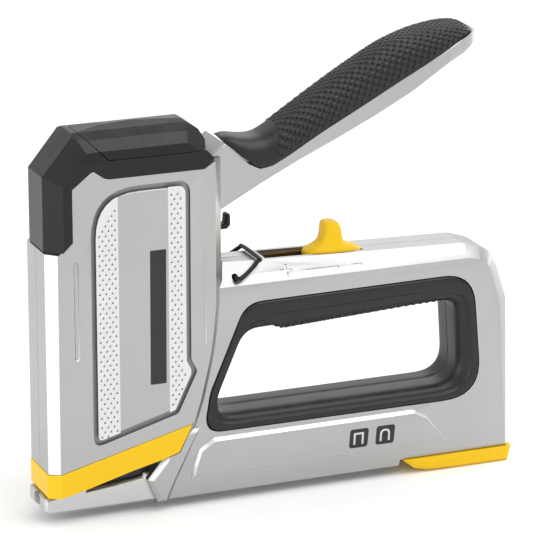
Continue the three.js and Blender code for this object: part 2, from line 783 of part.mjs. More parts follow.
function leverArm() {
  const top = inset([...gripLower, [H + 120, 250], [H, 250]], -GAP).slice(1, -3);
  const body = prism(
    [
      [PIVOT[0] + 5, PIVOT[1] - 7.5],
      [PIVOT[0] - 9, PIVOT[1] - 6, 6],
      [PIVOT[0] - 7, PIVOT[1] + 8, 6],
      [H - 9.5, 147],
      [H - 1, 153.5],
      [H + 1.4, 155],
      ...top,
      [LEVER_TIP - 4.6, 191.9],
      [LEVER_TIP - 1.4, 192.6],
      [LEVER_TIP, 190.4],
      ...armLower,
    ],
    LEVER_WIDTH,
    { chamfer: 0.6, steps: 3 },
  );
  const tenon = prism(
    [
      [H + 20.5, 142],
      [H + 16.5, 149],
      [H + 38.5, 157],
      [H + 85.5, 181],
      [H + 100.5, 187],
      [H + 98.5, 180],
    ],
    LEVER_WIDTH - 9,
  );
  const deep = prism(
    [
      [PIVOT[0] - 16, 100],
      [H + 2.5, 120],
      [H + 10.5, 130],
      [H + 11.5, 143],
      [H + 2.5, 150.5],
      [H - 1, 150.5],
      [H - 9.5, 144],
      [PIVOT[0] - 4, PIVOT[1] + 11],
      [PIVOT[0] - 16, PIVOT[1] + 6],
    ],
    LEVER_WIDTH - 2 * LEVER_WALL,
  );
  const shallow = prism(
    [
      [H + 8.5, 124],
      [H + 106.5, 175],
      [H + 104.5, 182],
      [H + 97.5, 183.4],
      [H + 38.5, 153.6],
      [H + 19.5, 146.5],
      [H + 8.5, 146],
    ],
    LEVER_WIDTH - 14,
  );
  const web = prism(
    [
      [H - 3, 124.8],
      [H + 10.5, 131.9],
      [H + 10.5, 134.4],
      [H - 3, 127.3],
    ],
    LEVER_WIDTH - 2 * LEVER_WALL + 1,
  );
  return cut(
    joined(cut(joined(body, tenon), deep, shallow), web),
    crossBar(...PIVOT, PIN_RADIUS + GAP, HEAD_WIDTH),
    crossBar(PIVOT[0] + 12, PIVOT[1] + 8, 2 + GAP, HEAD_WIDTH),
  ).intersect(leverPlan(LEVER_TIP, LEVER_WIDTH));
}

function leverGrip() {
  const lowerEdge = gripLower.slice(0, -1);
  const tip = LEVER_TIP - 3;
  return cut(
    prism([...lowerEdge, [tip - 2, 193.2], ...gripUpper], GRIP_WIDTH, { chamfer: 1 }),
    prism(
      [
        [H + 20.2, 141],
        [H + 16.1, 149.3],
        [H + 38.4, 157.3],
        [H + 85.4, 181.3],
        [H + 100.9, 187.4],
        [H + 99, 179],
      ],
      LEVER_WIDTH - 9 + 2 * GAP,
    ),
  ).intersect(leverPlan(tip, GRIP_WIDTH));
}

function liftingFork() {
  return cut(
    prism(
      [
        [18.6, 109.9],
        [19.6, 113.2],
        [32, 118],
        [PIVOT[0] - 4, 127.5],
        [H - 8, 133.5],
        [H - 5.5, 130],
        [PIVOT[0] + 10, 118],
        [PIVOT[0] + 3, 110.5],
        [PIVOT[0] - 8, 111],
        [24, 109.2],
      ],
      6,
    ),
    crossBar(...PIVOT, PIN_RADIUS + GAP, 20),
    crossBar(PIVOT[0] + 12, PIVOT[1] + 8, 2 + GAP, 20),
  );
}

/** The catch under the lever that the wire bail drops into. */
function leverHook() {
  return prism(
    [
      [H - 1.7, 124.9],
      [H + 5, 128.4],
      [H + 5, 126],
      [H + 2.1, 123.5, 1],
      [H + 2.1, 116.6, 0.8],
      [H + 5.1, 116.6, 0.8],
      [H + 5.4, 121, 0.9],
      [H + 7.5, 121, 0.9],
      [H + 7.6, 115.8, 1.2],
      [H + 5.9, 114.3, 1.2],
      [H - 0.1, 114.3, 1.2],
      [H - 0.3, 121],
    ],
    4.6,
    { chamfer: 0.5, steps: 2 },
  );
}

// ---------------------------------------------------------------- striker, springs and slider
const LEAF_Z = TUNNEL_FLOOR + GAP + GUIDE_WALL + GAP;
const LEAF_TOP = LEAF_Z + MAIN_LEAF + GAP + SECOND_LEAF;
const HAMMER_LOW = LEAF_Z - 5;

function hammerBlock() {
  return cut(
    block(BLADE_X + BLADE_THICKNESS + GAP, 22, 12, HAMMER_LOW, 118.5),
    block(12, 24, LEAF_WIDTH + 0.8, LEAF_Z - 0.7, LEAF_TOP + 0.7),
    block(12, 24, 7, 107.5, 115.4),
  );
}

function driverBlade() {
  return joined(
    block(BLADE_X, BLADE_X + BLADE_THICKNESS, STAPLE_CROWN, 1, 108),
    block(BLADE_X, BLADE_X + BLADE_THICKNESS, STAPLE_CROWN - 4, 107, 114),
  );
}

function sliderGuide() {
  const outside = TUNNEL_WIDTH - 2 * GAP;
  const floor = TUNNEL_FLOOR + GAP;
  return cut(
    joined(
      block(H + 4, TAIL - 46, outside, floor, TUNNEL_ROOF - GAP),
      block(SLOT_FRONT + GAP, SLOT_REAR - GAP, outside, TUNNEL_ROOF - 1, railAt(SLOT_REAR) - 0.5),
    ),
    block(H, TAIL, outside - 2 * GUIDE_WALL, floor + GUIDE_WALL, RAIL_TOP + 4),
    crossBar(TAIL - 52, 94, 1.8, 20),
  );
}

function springAnchor() {
  return cut(
    block(TAIL - 59, TAIL - 47, LEAF_WIDTH, LEAF_TOP + GAP, TUNNEL_ROOF - 2 * GAP),
    crossBar(TAIL - 52, 94, 1.8, 20),
  );
}

const KNOB_X = H + 54; // middle of the power slider at rest
const knobLine = railAt(KNOB_X) + GAP;

/** A piece drawn level, tipped to the slope of the rail about the knob's foot. */
function pitched(mesh) {
  mesh.geometry.translate(-KNOB_X, 0, -knobLine);
  mesh.position.set(KNOB_X, 0, knobLine);
  mesh.rotation.y = RAIL_PITCH;
}

function sliderKnob() {
  const foot = knobLine;
  return joined(
    prism(
      [
        [KNOB_X - 13.4, foot],
        [KNOB_X - 13.2, foot + 1.4],
        [KNOB_X - 8, foot + 2.6, 4],
        [KNOB_X - 3.2, foot + 6, 3],
        [KNOB_X - 2.5, foot + 12, 1.6],
        [KNOB_X + 3.2, foot + 12.6, 1.6],
        [KNOB_X + 4.2, foot + 6, 3],
        [KNOB_X + 6.5, foot + 2.8, 1.5],
        [KNOB_X + 12, foot + 2.2, 1.5],
        [KNOB_X + 13.4, foot + 0.9],
        [KNOB_X + 13.5, foot],
      ],
      13,
      { chamfer: 0.5, steps: 3 },
    ),
    block(KNOB_X - 5, KNOB_X + 5, 7.6, foot - 3, foot + 1),
  );
}

function fulcrumBlock() {
  return block(KNOB_X - 6, KNOB_X + 6, LEAF_WIDTH, LEAF_TOP + GAP + 0.2, knobLine - 3 - GAP);
}

function wireBail() {
  const [px, pz] = BAIL_PIVOT;
  const barX = px + BAIL_REACH * Math.cos(BAIL_REST);
  const barZ = pz + BAIL_REACH * Math.sin(BAIL_REST);
  const half = (side) => [
    [px, side * (BAIL_SPREAD - 5.2), pz],
    [px, side * (BAIL_SPREAD - 1.2), pz],
    [px + 0.5, side * BAIL_SPREAD, pz + 0.1],
    [px + 2, side * (BAIL_SPREAD + 0.1), pz + 0.5],
    [(px + barX) / 2, side * (BAIL_SPREAD - 1.2), (pz + barZ) / 2 - 0.9],
    [barX - 1.2, side * (BAIL_BAR + 0.5), barZ - 0.9],
    [barX, side * (BAIL_BAR - 1), barZ],
  ];
  const points = [...half(-1), ...half(1).reverse()].map((p) => new THREE.Vector3(...p));
  return wire(new THREE.CatmullRomCurve3(points, false, "centripetal"), BAIL_WIRE, 56);
}

// ---------------------------------------------------------------- fasteners
/** A socket-head screw whose head's face is at the origin and whose shank runs to -Y. */
function screwSolid(length) {
  const profile = [
    [0, 0],
    [SCREW_HEAD - 0.4, 0],
    [SCREW_HEAD, -0.5],
    [SCREW_HEAD, -2],
    [SCREW_SHANK, -2],
    [SCREW_SHANK, -length + 0.8],
    [0.8, -length],
    [0, -length],
  ].map(([r, y]) => new THREE.Vector2(r, y));
  const body = solid(new THREE.LatheGeometry(profile.reverse(), 16));
  const socket = new THREE.CylinderGeometry(1.5, 1.5, 2.4, 6);
  return body.subtract(solid(socket));
}

// ---------------------------------------------------------------- assembly
const body = assembly("body");
const outside = castingOutside();
const castings = cut(outside, castingHollows());
fit(body, "left_body_shell", casting(castings, -1), aluminium);
fit(body, "right_body_shell", casting(castings, 1), aluminium);
fit(body, "front_guard", frontGuard(), blackPlastic);
fit(body, "top_cap", topCap(), blackPlastic);
fit(body, "nose_band", noseBand(), yellow);
fit(body, "left_side_plate", sidePlate(-1), plateGrey);
fit(body, "right_side_plate", sidePlate(1), plateGrey);
fit(body, "grip_liner", gripLiner(), rubber);
fit(body, "nose_frame", noseFrame(), steel);
fit(body, "magazine_channel", magazineChannel(), steel);
fit(body, "staple_stick", stapleStick(), steel);
fit(body, "slider_guide", sliderGuide(), zincYellow);
fit(body, "main_leaf_spring", block(13, TAIL - 47, LEAF_WIDTH, LEAF_Z, LEAF_Z + MAIN_LEAF), springSteel);
fit(
  body,
  "second_leaf_spring",
  block(H - 19.5, TAIL - 47, LEAF_WIDTH, LEAF_TOP - SECOND_LEAF, LEAF_TOP),
  springSteel,
);
fit(body, "spring_anchor", springAnchor(), steel);
fit(body, "anchor_pin", crossBar(TAIL - 52, 94, 1.5, 18, 0, 12), steel);
fit(body, "hammer_bumper", block(9, 22, 12, 74, HAMMER_LOW - GAP), rubber);
fit(body, "lever_pin", crossBar(...PIVOT, PIN_RADIUS, HEAD_WIDTH - 4), steel);
fit(
  body,
  "lever_return_spring",
  wire(new Helix("y", LEVER_WIDTH / 2 - 7.6, 4.2, PIN_RADIUS + 1.6, 3, PIVOT), 1.1, 42, 6),
  springSteel,
);
for (const [name, [x, z, width]] of Object.entries(screws)) {
  const mesh = fit(body, name, screwSolid(width - 5), blackSteel);
  mesh.position.set(x, width / 2 - 0.4, z);
}

const lever = assembly("lever", PIVOT[0], 0, PIVOT[1]);
fit(lever, "lever_arm", leverArm(), aluminium);
fit(lever, "lever_grip", leverGrip(), rubber);
fit(lever, "lifting_fork", liftingFork(), steel);
fit(lever, "fork_rivet", crossBar(PIVOT[0] + 12, PIVOT[1] + 8, 2, LEVER_WIDTH, 0, 14), steel);
fit(lever, "lever_hook", leverHook(), blackPlastic);

const striker = assembly("striker");
fit(striker, "hammer_block", hammerBlock(), steel);
fit(striker, "driver_blade", driverBlade(), springSteel);

const slider = assembly("slider");
pitched(fit(slider, "slider_knob", sliderKnob(), yellow));
pitched(fit(slider, "fulcrum_block", fulcrumBlock(), steel));

const bail = assembly("bail", BAIL_PIVOT[0], 0, BAIL_PIVOT[1]);
fit(bail, "wire_bail", wireBail(), blackSteel);

const magazine = assembly("magazine");
fit(magazine, "magazine_foot", magazineFoot(), yellow);
fit(magazine, "magazine_rail", magazineRail(), steel);
fit(magazine, "pusher_rod", longBar(PUSHER_X + 1, TAIL - 24, ROD_Z, 1.2), steel);
fit(
  magazine,
  "rod_bracket",
  block(TAIL - 23.7, TAIL - 19.2, 2 * (RAIL_HALF - 1.2 - GAP), 1.2 + GAP, RAIL_HIGH - 1),
  steel,
);

const pusher = assembly("pusher", 0, 0, 0, magazine);
fit(pusher, "staple_pusher", staplePusher(), blackPlastic);
fit(
  pusher,
  "pusher_spring",
  wire(new Helix("x", PUSHER_X + 12.8, TAIL - 24.6 - PUSHER_X - 12.8, 2.1, 22, [0, ROD_Z]), 0.7, 176, 4),
  springSteel,
);

export default tool;
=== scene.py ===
"""Looks of a hand staple gun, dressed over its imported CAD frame.

Lengths in this script are millimetres in tool coordinates (X from the head's front face towards the
tail, Y across, Z up from just above the magazine's bottom) until place() turns them into metres of
the row frame.
"""

import json
import logging
import math
from collections.abc import Callable, Sequence
from dataclasses import dataclass, field
from enum import Enum

import bmesh
import bpy
from bmesh.types import BMesh, BMVert
from bpy.types import ID, Material, Node, NodeSocket, NodeTree, Object
from mathutils import Matrix, Vector

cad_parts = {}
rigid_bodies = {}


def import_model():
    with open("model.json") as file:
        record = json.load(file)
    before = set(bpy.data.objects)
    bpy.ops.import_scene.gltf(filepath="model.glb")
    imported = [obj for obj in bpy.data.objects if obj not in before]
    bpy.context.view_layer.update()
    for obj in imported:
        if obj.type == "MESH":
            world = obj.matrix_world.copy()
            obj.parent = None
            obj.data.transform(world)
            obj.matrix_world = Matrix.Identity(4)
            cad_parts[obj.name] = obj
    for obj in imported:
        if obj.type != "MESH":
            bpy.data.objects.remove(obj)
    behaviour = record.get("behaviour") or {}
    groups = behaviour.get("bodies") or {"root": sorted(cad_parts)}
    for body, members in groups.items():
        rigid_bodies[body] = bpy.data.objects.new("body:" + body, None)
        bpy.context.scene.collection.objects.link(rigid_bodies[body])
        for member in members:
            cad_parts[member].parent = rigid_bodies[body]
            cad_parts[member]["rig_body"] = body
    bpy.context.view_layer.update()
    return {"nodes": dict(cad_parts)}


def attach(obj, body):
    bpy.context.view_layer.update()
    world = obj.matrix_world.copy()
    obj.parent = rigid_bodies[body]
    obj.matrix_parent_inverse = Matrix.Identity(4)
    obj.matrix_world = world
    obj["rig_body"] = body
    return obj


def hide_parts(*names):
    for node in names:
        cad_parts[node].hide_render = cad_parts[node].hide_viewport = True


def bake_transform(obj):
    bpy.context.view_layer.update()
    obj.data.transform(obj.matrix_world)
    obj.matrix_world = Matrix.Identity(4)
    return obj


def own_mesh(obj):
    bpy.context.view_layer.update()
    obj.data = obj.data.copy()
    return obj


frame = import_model()

LOG = logging.getLogger("staple_gun")
MM = 0.001
TAIL = 219.0  # length of the castings
HEAD = 79.5  # the head's depth, from its front to its back
HEAD_HALF = 16.0  # half the head's width
PLATE_FLOOR = 14.2  # floor of the side plates' recess, from the mid-plane
PAD_HALF = 15.0  # half the width over the lower pads
GUARD_SET_BACK = 1.9  # how far the guard's front face sits back
ORIGIN_X = -108.75  # the head's front in the row frame
FOOT_DROP = 5.5  # height of the tool's zero above the ground
SIDES = ((-1, "left"), (1, "right"))


def place(x: float, y: float, z: float) -> Vector:
    """Turns a point in tool millimetres into the row frame's metres."""
    return Vector((x + ORIGIN_X, y, z + FOOT_DROP)) * MM


def linear(tone: str) -> tuple[float, float, float, float]:
    """Turns a hexadecimal display colour into the linear colour that shaders use."""
    shares = [channel / 255 for channel in bytes.fromhex(tone)]
    knee, power = 0.04045, 2.4
    return (*(c / 12.92 if c <= knee else ((c + 0.055) / 1.055) ** power for c in shares), 1.0)


def add_object(name: str, data: ID) -> Object:
    """Puts data into the scene as an object."""
    made = bpy.data.objects.new(name, data)
    bpy.context.scene.collection.objects.link(made)
    return made


# ---- finishes
@dataclass(frozen=True)
class Finish:
    """A procedural surface finish: two tones, grain, edges lightened partly as wear and partly as a painted
    highlight, and a little dust.
    """

    name: str
    tone: str
    second_tone: str
    roughness: float
    metallic: float = 0.0
    roughness_swing: float = 0.05
    grain_size: float = 0.3
    relief: float = 0.004
    # Edge colour and its amount: partly edge wear, partly a painted highlight.
    wear_sheen_tone: str = "c8c8c8"
    wear_sheen: float = 0.0
    dust: float = 0.0
    coat: float = 0.0
    specular: float = 0.5


class Surface(Enum):
    """Every finish that the tool and its studio use."""

    CAST = Finish(
        "satin_cast_aluminium", tone="b5b6b5", second_tone="aeafae", roughness=0.36, metallic=1.0,
        roughness_swing=0.07, relief=0.006, wear_sheen_tone="e2e2e2", wear_sheen=0.5, dust=0.04,
    )
    PLATE = Finish(
        "painted_side_plate", tone="b4b5b4", second_tone="aeafae", roughness=0.42, metallic=0.75,
        roughness_swing=0.06, grain_size=0.25, wear_sheen_tone="dedede", wear_sheen=0.4, dust=0.03,
    )
    BUMPS = Finish(
        "bright_bump_strip", tone="dedede", second_tone="d4d4d4", roughness=0.36, metallic=0.35,
        roughness_swing=0.06, grain_size=0.4, wear_sheen_tone="f0f0f0", wear_sheen=0.3, dust=0.02,
    )
    # Painted shade: the dark colour on the steep feet of the side plates' scales.
    BUMP_FOOT_SHADE = Finish(
        "bump_foot_painted_shade", tone="707070", second_tone="5c5c5c", roughness=0.6, metallic=0.2,
    )
    BLACK = Finish(
        "moulded_black_plastic", tone="1a1a1a", second_tone="161616", roughness=0.32,
        roughness_swing=0.08, grain_size=0.28, relief=0.012, wear_sheen_tone="464646", wear_sheen=0.35,
        dust=0.03, specular=0.3,
    )
    RUBBER = Finish(
        "soft_black_rubber", tone="1e1e1d", second_tone="191918", roughness=0.4,
        roughness_swing=0.1, relief=0.015, wear_sheen_tone="525250", wear_sheen=0.35, dust=0.03, specular=0.4,
    )
    # Painted shade: the near-black colour on the steep feet of the rubber scales.
    RUBBER_FOOT_SHADE = Finish(
        "rubber_foot_painted_shade", tone="080808", second_tone="050505", roughness=0.8, relief=0.01,
        specular=0.15,
    )
    YELLOW = Finish(
        "yellow_plastic", tone="edc000", second_tone="e6b800", roughness=0.42,
        roughness_swing=0.07, grain_size=0.4, relief=0.006, wear_sheen_tone="fad03c", wear_sheen=0.25,
        dust=0.02, coat=0.05, specular=0.3,
    )
    STEEL = Finish(
        "bright_steel", tone="cecfd0", second_tone="c0c1c2", roughness=0.33, metallic=1.0,
        roughness_swing=0.12, grain_size=0.35, relief=0.006, wear_sheen_tone="d7d7d7", wear_sheen=0.4,
        dust=0.05,
    )
    SPRING = Finish(
        "oiled_spring_steel", tone="686662", second_tone="54524e", roughness=0.34, metallic=1.0,
        roughness_swing=0.12, grain_size=0.5, wear_sheen_tone="a09e98", wear_sheen=0.4, dust=0.04,
    )
    ZINC = Finish(
        "chromated_steel", tone="967a42", second_tone="78603a", roughness=0.42, metallic=0.9,
        roughness_swing=0.12, grain_size=0.9, wear_sheen_tone="b4a06e", wear_sheen=0.4, dust=0.04,
    )
    DARK_STEEL = Finish(
        "blackened_steel", tone="2c2c2d", second_tone="222223", roughness=0.38, metallic=0.7,
        roughness_swing=0.1, grain_size=0.4, relief=0.006, wear_sheen_tone="787878", wear_sheen=0.35,
        dust=0.04,
    )
    # Painted shade: a dark colour for the channel, which lies in shade inside the magazine.
    CHANNEL_SHADE = Finish(
        "channel_steel_painted_shade", tone="4a4a4c", second_tone="3c3c3e", roughness=0.42, metallic=1.0,
        roughness_swing=0.1, grain_size=0.4, wear_sheen_tone="787878", wear_sheen=0.3, dust=0.04,
    )
    # Painted shade: a darker grey for the recess floor round each side plate.
    GROOVE_SHADE = Finish(
        "groove_floor_painted_shade", tone="969796", second_tone="8e8f8e", roughness=0.5, metallic=1.0,
    )
    # Painted highlight: a near-white colour for the slanted faces of the head front and lower pads.
    EDGE_HIGHLIGHT = Finish(
        "cast_edge_painted_highlight", tone="eeeeee", second_tone="e6e6e6", roughness=0.3, metallic=0.85,
        roughness_swing=0.06, wear_sheen_tone="f8f8f8", wear_sheen=0.3, dust=0.02,
    )
    PRINT = Finish("black_print", tone="1e1e1e", second_tone="181818", roughness=0.4, relief=0.002)
    PALE_PRINT = Finish(
        "pale_print", tone="cecece", second_tone="c6c6c6", roughness=0.45, metallic=0.2,
        relief=0.002,
    )
    FLOOR = Finish(
        "pale_floor", tone="fafafa", second_tone="f7f7f7", roughness=0.9, roughness_swing=0.02,
        grain_size=60.0, relief=0.0,
    )


class Graph:
    """Adds shader nodes to a tree and links them in one call."""

    def __init__(self, tree: NodeTree) -> None:
        """Keeps the tree that nodes go into."""
        self.tree = tree

    def add(self, kind: str, inputs: dict | None = None, **settings: object) -> Node:
        """Adds a node.

        Args:
            kind: The node's type name.
            inputs: Values or output sockets by input name or index.
            settings: Properties of the node itself.

        Returns:
            The new node.
        """
        node = self.tree.nodes.new(kind)
        for key, value in settings.items():
            setattr(node, key, value)
        for key, value in (inputs or {}).items():
            if isinstance(value, NodeSocket):
                self.tree.links.new(value, node.inputs[key])
            else:
                node.inputs[key].default_value = value
        return node


class Effects:
    """The shared effects, each a node group that is built once."""

    def __init__(self) -> None:
        """Builds the groups."""
        self.grain = self._grain()
        self.edges = self._edge_wear_sheen()
        self.dust = self._dust()

    @staticmethod
    def _group(name: str, given: Sequence[str], made: str) -> tuple[Graph, Node, Node]:
        """Starts a node group with float inputs and one float output."""
        tree = bpy.data.node_groups.new(name, "ShaderNodeTree")
        for entry in given:
            tree.interface.new_socket(entry, in_out="INPUT", socket_type="NodeSocketFloat")
        tree.interface.new_socket(made, in_out="OUTPUT", socket_type="NodeSocketFloat")
        graph = Graph(tree)
        return graph, graph.add("NodeGroupInput"), graph.add("NodeGroupOutput")

    def _grain(self) -> NodeTree:
        """Fine grain over soft blotches, from 0 to 1."""
        graph, given, made = self._group("surface_grain", ["Scale"], "Grain")
        spot = graph.add("ShaderNodeTexCoord").outputs["Object"]
        fine = graph.add("ShaderNodeTexNoise", {"Vector": spot, "Scale": given.outputs[0], "Detail": 3.0})
        wide = graph.add("ShaderNodeTexNoise", {"Vector": spot, "Scale": 55.0, "Detail": 2.0})
        both = graph.add("ShaderNodeMath", {0: fine.outputs[0], 1: 0.62}, operation="MULTIPLY")
        rest = graph.add("ShaderNodeMath", {0: wide.outputs[0], 1: 0.38}, operation="MULTIPLY")
        total = graph.add("ShaderNodeMath", {0: both.outputs[0], 1: rest.outputs[0]}, operation="ADD")
        graph.tree.links.new(total.outputs[0], made.inputs[0])
        return graph.tree

    def _edge_wear_sheen(self) -> NodeTree:
        """A mask of outer edges, broken up by noise, where wear and a painted highlight lighten the colour.
        """
        graph, given, made = self._group("edge_wear_and_sheen", ["Amount"], "Mask")
        soft = graph.add("ShaderNodeBevel", {"Radius": 0.0005}, samples=4)
        hard = graph.add("ShaderNodeNewGeometry")
        both = {0: soft.outputs[0], 1: hard.outputs["Normal"]}
        facing = graph.add("ShaderNodeVectorMath", both, operation="DOT_PRODUCT").outputs["Value"]
        turned = graph.add("ShaderNodeMapRange", {0: facing, 1: 0.99, 2: 0.86, 3: 0.0, 4: 1.0})
        broken = self._noise(graph, 420.0, 4.0, {1: 0.38, 2: 0.62, 3: 0.25, 4: 1.0})
        return self._mask(graph, (turned, broken), given, made)

    def _dust(self) -> NodeTree:
        """A mask of what settles on faces that look upwards."""
        graph, given, made = self._group("settled_dust", ["Amount"], "Mask")
        normal = graph.add("ShaderNodeNewGeometry").outputs["Normal"]
        upward = graph.add("ShaderNodeSeparateXYZ", {0: normal}).outputs[2]
        lying = graph.add("ShaderNodeMapRange", {0: upward, 1: 0.35, 2: 1.0, 3: 0.0, 4: 1.0})
        patchy = self._noise(graph, 140.0, 5.0, {1: 0.4, 2: 0.7, 3: 0.0, 4: 1.0})
        return self._mask(graph, (lying, patchy), given, made)

    @staticmethod
    def _noise(graph: Graph, scale: float, detail: float, limits: dict) -> Node:
        """Noise over the object, mapped between limits."""
        spot = graph.add("ShaderNodeTexCoord").outputs["Object"]
        noise = graph.add("ShaderNodeTexNoise", {"Vector": spot, "Scale": scale, "Detail": detail})
        return graph.add("ShaderNodeMapRange", {0: noise.outputs[0], **limits})

    @staticmethod
    def _mask(
        graph: Graph, parts: Sequence[Node], given: Node, made: Node
    ) -> NodeTree:
        """Multiplies two parts and the given amount into the group's output."""
        both = {k: part.outputs[0] for k, part in enumerate(parts)}
        mask = graph.add("ShaderNodeMath", both, operation="MULTIPLY")
        amount = {0: mask.outputs[0], 1: given.outputs[0]}
        scaled = graph.add("ShaderNodeMath", amount, operation="MULTIPLY", use_clamp=True)
        graph.tree.links.new(scaled.outputs[0], made.inputs[0])
        return graph.tree


class Paintshop:
    """Makes each finish's material once and hands it out."""

    def __init__(self) -> None:
        """Builds the shared effects."""
        self.effects = Effects()
        self.made: dict[Surface, Material] = {}

    def material(self, surface: Surface) -> Material:
        """Hands out the material of a finish, building it the first time."""
        if surface not in self.made:
            self.made[surface] = self._build(surface.value)
        return self.made[surface]

    def _build(self, finish: Finish) -> Material:
        """Builds a finish's material."""
        material = bpy.data.materials.new(finish.name)
        material.use_nodes = True
        material.node_tree.nodes.clear()
        graph = Graph(material.node_tree)
        grain = graph.add("ShaderNodeGroup", node_tree=self.effects.grain)
        grain.inputs[0].default_value = 1000.0 / finish.grain_size
        tones = graph.add("ShaderNodeMix", {"Factor": grain.outputs[0]}, data_type="RGBA")
        tones.inputs[6].default_value = linear(finish.tone)
        tones.inputs[7].default_value = linear(finish.second_tone)
        # Edges blend towards a lighter tone: partly wear, partly a painted highlight.
        wear_sheen_mask = graph.add("ShaderNodeGroup", node_tree=self.effects.edges)
        wear_sheen_mask.inputs[0].default_value = finish.wear_sheen
        wear_sheen_inputs = {"Factor": wear_sheen_mask.outputs[0], 6: tones.outputs[2]}
        wear_sheen_mixed = graph.add("ShaderNodeMix", wear_sheen_inputs, data_type="RGBA")
        wear_sheen_mixed.inputs[7].default_value = linear(finish.wear_sheen_tone)
        dusty = graph.add("ShaderNodeGroup", node_tree=self.effects.dust)
        dusty.inputs[0].default_value = finish.dust
        settling = {"Factor": dusty.outputs[0], 6: wear_sheen_mixed.outputs[2]}
        settled = graph.add("ShaderNodeMix", settling, data_type="RGBA")
        settled.inputs[7].default_value = linear("c4c0b8")
        swing = finish.roughness_swing / 2
        low, high = finish.roughness - swing, finish.roughness + swing
        rough = graph.add("ShaderNodeMapRange", {0: grain.outputs[0], 1: 0.3, 2: 0.7, 3: low, 4: high})
        depth = {"Height": grain.outputs[0], "Strength": 0.5, "Distance": finish.relief * MM}
        relief = graph.add("ShaderNodeBump", depth)
        shader = graph.add(
            "ShaderNodeBsdfPrincipled",
            {
                "Base Color": settled.outputs[2],
                "Roughness": rough.outputs[0],
                "Metallic": finish.metallic,
                "Normal": relief.outputs[0],
                "Coat Weight": finish.coat,
                "Coat Roughness": 0.2,
                "Specular IOR Level": finish.specular,
            },
        )
        graph.add("ShaderNodeOutputMaterial", {"Surface": shader.outputs[0]})
        return material


# ---- outlines
Corner = tuple[float, ...]  # x, z and, where rounded, a radius


def neighbours(line: Sequence[Vector]) -> zip:
    """Pairs each point of a closed line with the next."""
    return zip(line, [*line[1:], *line[:1]])


def inset(corners: Sequence[Corner], distance: float) -> list[Corner]:
    """Moves an outline's corners inwards and trims their radii to match."""
    points = [Vector(c[:2]) for c in corners]
    area = sum(a.x * b.y - b.x * a.y for a, b in neighbours(points))
    turn = math.copysign(1, area)
    moved = []
    for i, at in enumerate(points):
        into = (at - points[i - 1]).normalized()
        out = (points[(i + 1) % len(points)] - at).normalized()
        normal = Vector((-into.y - out.y, into.x + out.x)).normalized()
        stretch = max(normal.dot(Vector((-into.y, into.x))), 0.3)
        spot = at + normal * (turn * distance / stretch)
        radius = corners[i][2] if len(corners[i]) > 2 else 0
        moved.append((spot.x, spot.y, max(radius - distance, radius / 2) if radius else 0))
    return moved


def rounded(corners: Sequence[Corner], steps: int = 10) -> list[Vector]:
    """Draws an outline with its corners rounded, as 2-D points."""
    points = []
    for i, corner in enumerate(corners):
        at = Vector(corner[:2])
        back = Vector(corners[i - 1][:2]) - at
        ahead = Vector(corners[(i + 1) % len(corners)][:2]) - at
        radius = corner[2] if len(corner) > 2 else 0
        run = min(radius / math.tan(back.angle(ahead) / 2), back.length * 0.49, ahead.length * 0.49)
        if run <= 0:
            points.append(at)
            continue
        start, end = at + back.normalized() * run, at + ahead.normalized() * run
        for k in range(steps + 1):
            t = k / steps
            points.append(start * (1 - t) ** 2 + at * 2 * t * (1 - t) + end * t * t)
    return points


def resampled(points: Sequence[Vector], count: int, closed: bool = True) -> list[Vector]:
    """Spaces a count of points evenly along a line, which may return to its start."""
    line = list(points) + ([points[0]] if closed else [])
    reach = [0.0]
    for a, b in zip(line, line[1:]):
        reach.append(reach[-1] + (b - a).length)
    spaced, k = [], 0
    for i in range(count):
        goal = reach[-1] * i / (count if closed else count - 1)
        while k < len(line) - 2 and reach[k + 1] < goal:
            k += 1
        share = (goal - reach[k]) / max(reach[k + 1] - reach[k], 1e-9)
        spaced.append(line[k].lerp(line[k + 1], share))
    return spaced


def inside(point: Vector, outline: Sequence[Vector]) -> bool:
    """Tells whether a 2-D point lies within an outline."""
    hit = False
    for a, b in neighbours(outline):
        if (a.y > point.y) != (b.y > point.y) and point.x < a.x + (point.y - a.y) * (b.x - a.x) / (b.y - a.y):
            hit = not hit
    return hit


def between(outline: Sequence[Vector], low: float, high: float) -> list[Vector]:
    """Keeps the part of an outline that lies between two X values."""
    kept = list(outline)
    for limit, sign in ((low, 1), (high, -1)):
        line, kept = kept, []
        for a, b in neighbours(line):
            here, there = sign * (a.x - limit), sign * (b.x - limit)
            if here >= 0:
                kept.append(a)
            if here * there < 0:
                kept.append(a.lerp(b, here / (here - there)))
    return kept


def spline(points: Sequence[Vector], per_span: int) -> list[Vector]:
    """Draws a smooth Catmull-Rom line through points."""
    line = []
    ends = [points[0] * 2 - points[1], *points, points[-1] * 2 - points[-2]]
    for a, b, c, d in zip(ends, ends[1:], ends[2:], ends[3:]):
        for k in range(per_span):
            t = k / per_span
            second, third = a * 2 - b * 5 + c * 4 - d, b * 3 - a - c * 3 + d
            line.append(0.5 * (b * 2 + (c - a) * t + second * t**2 + third * t**3))
    return [*line, points[-1]]


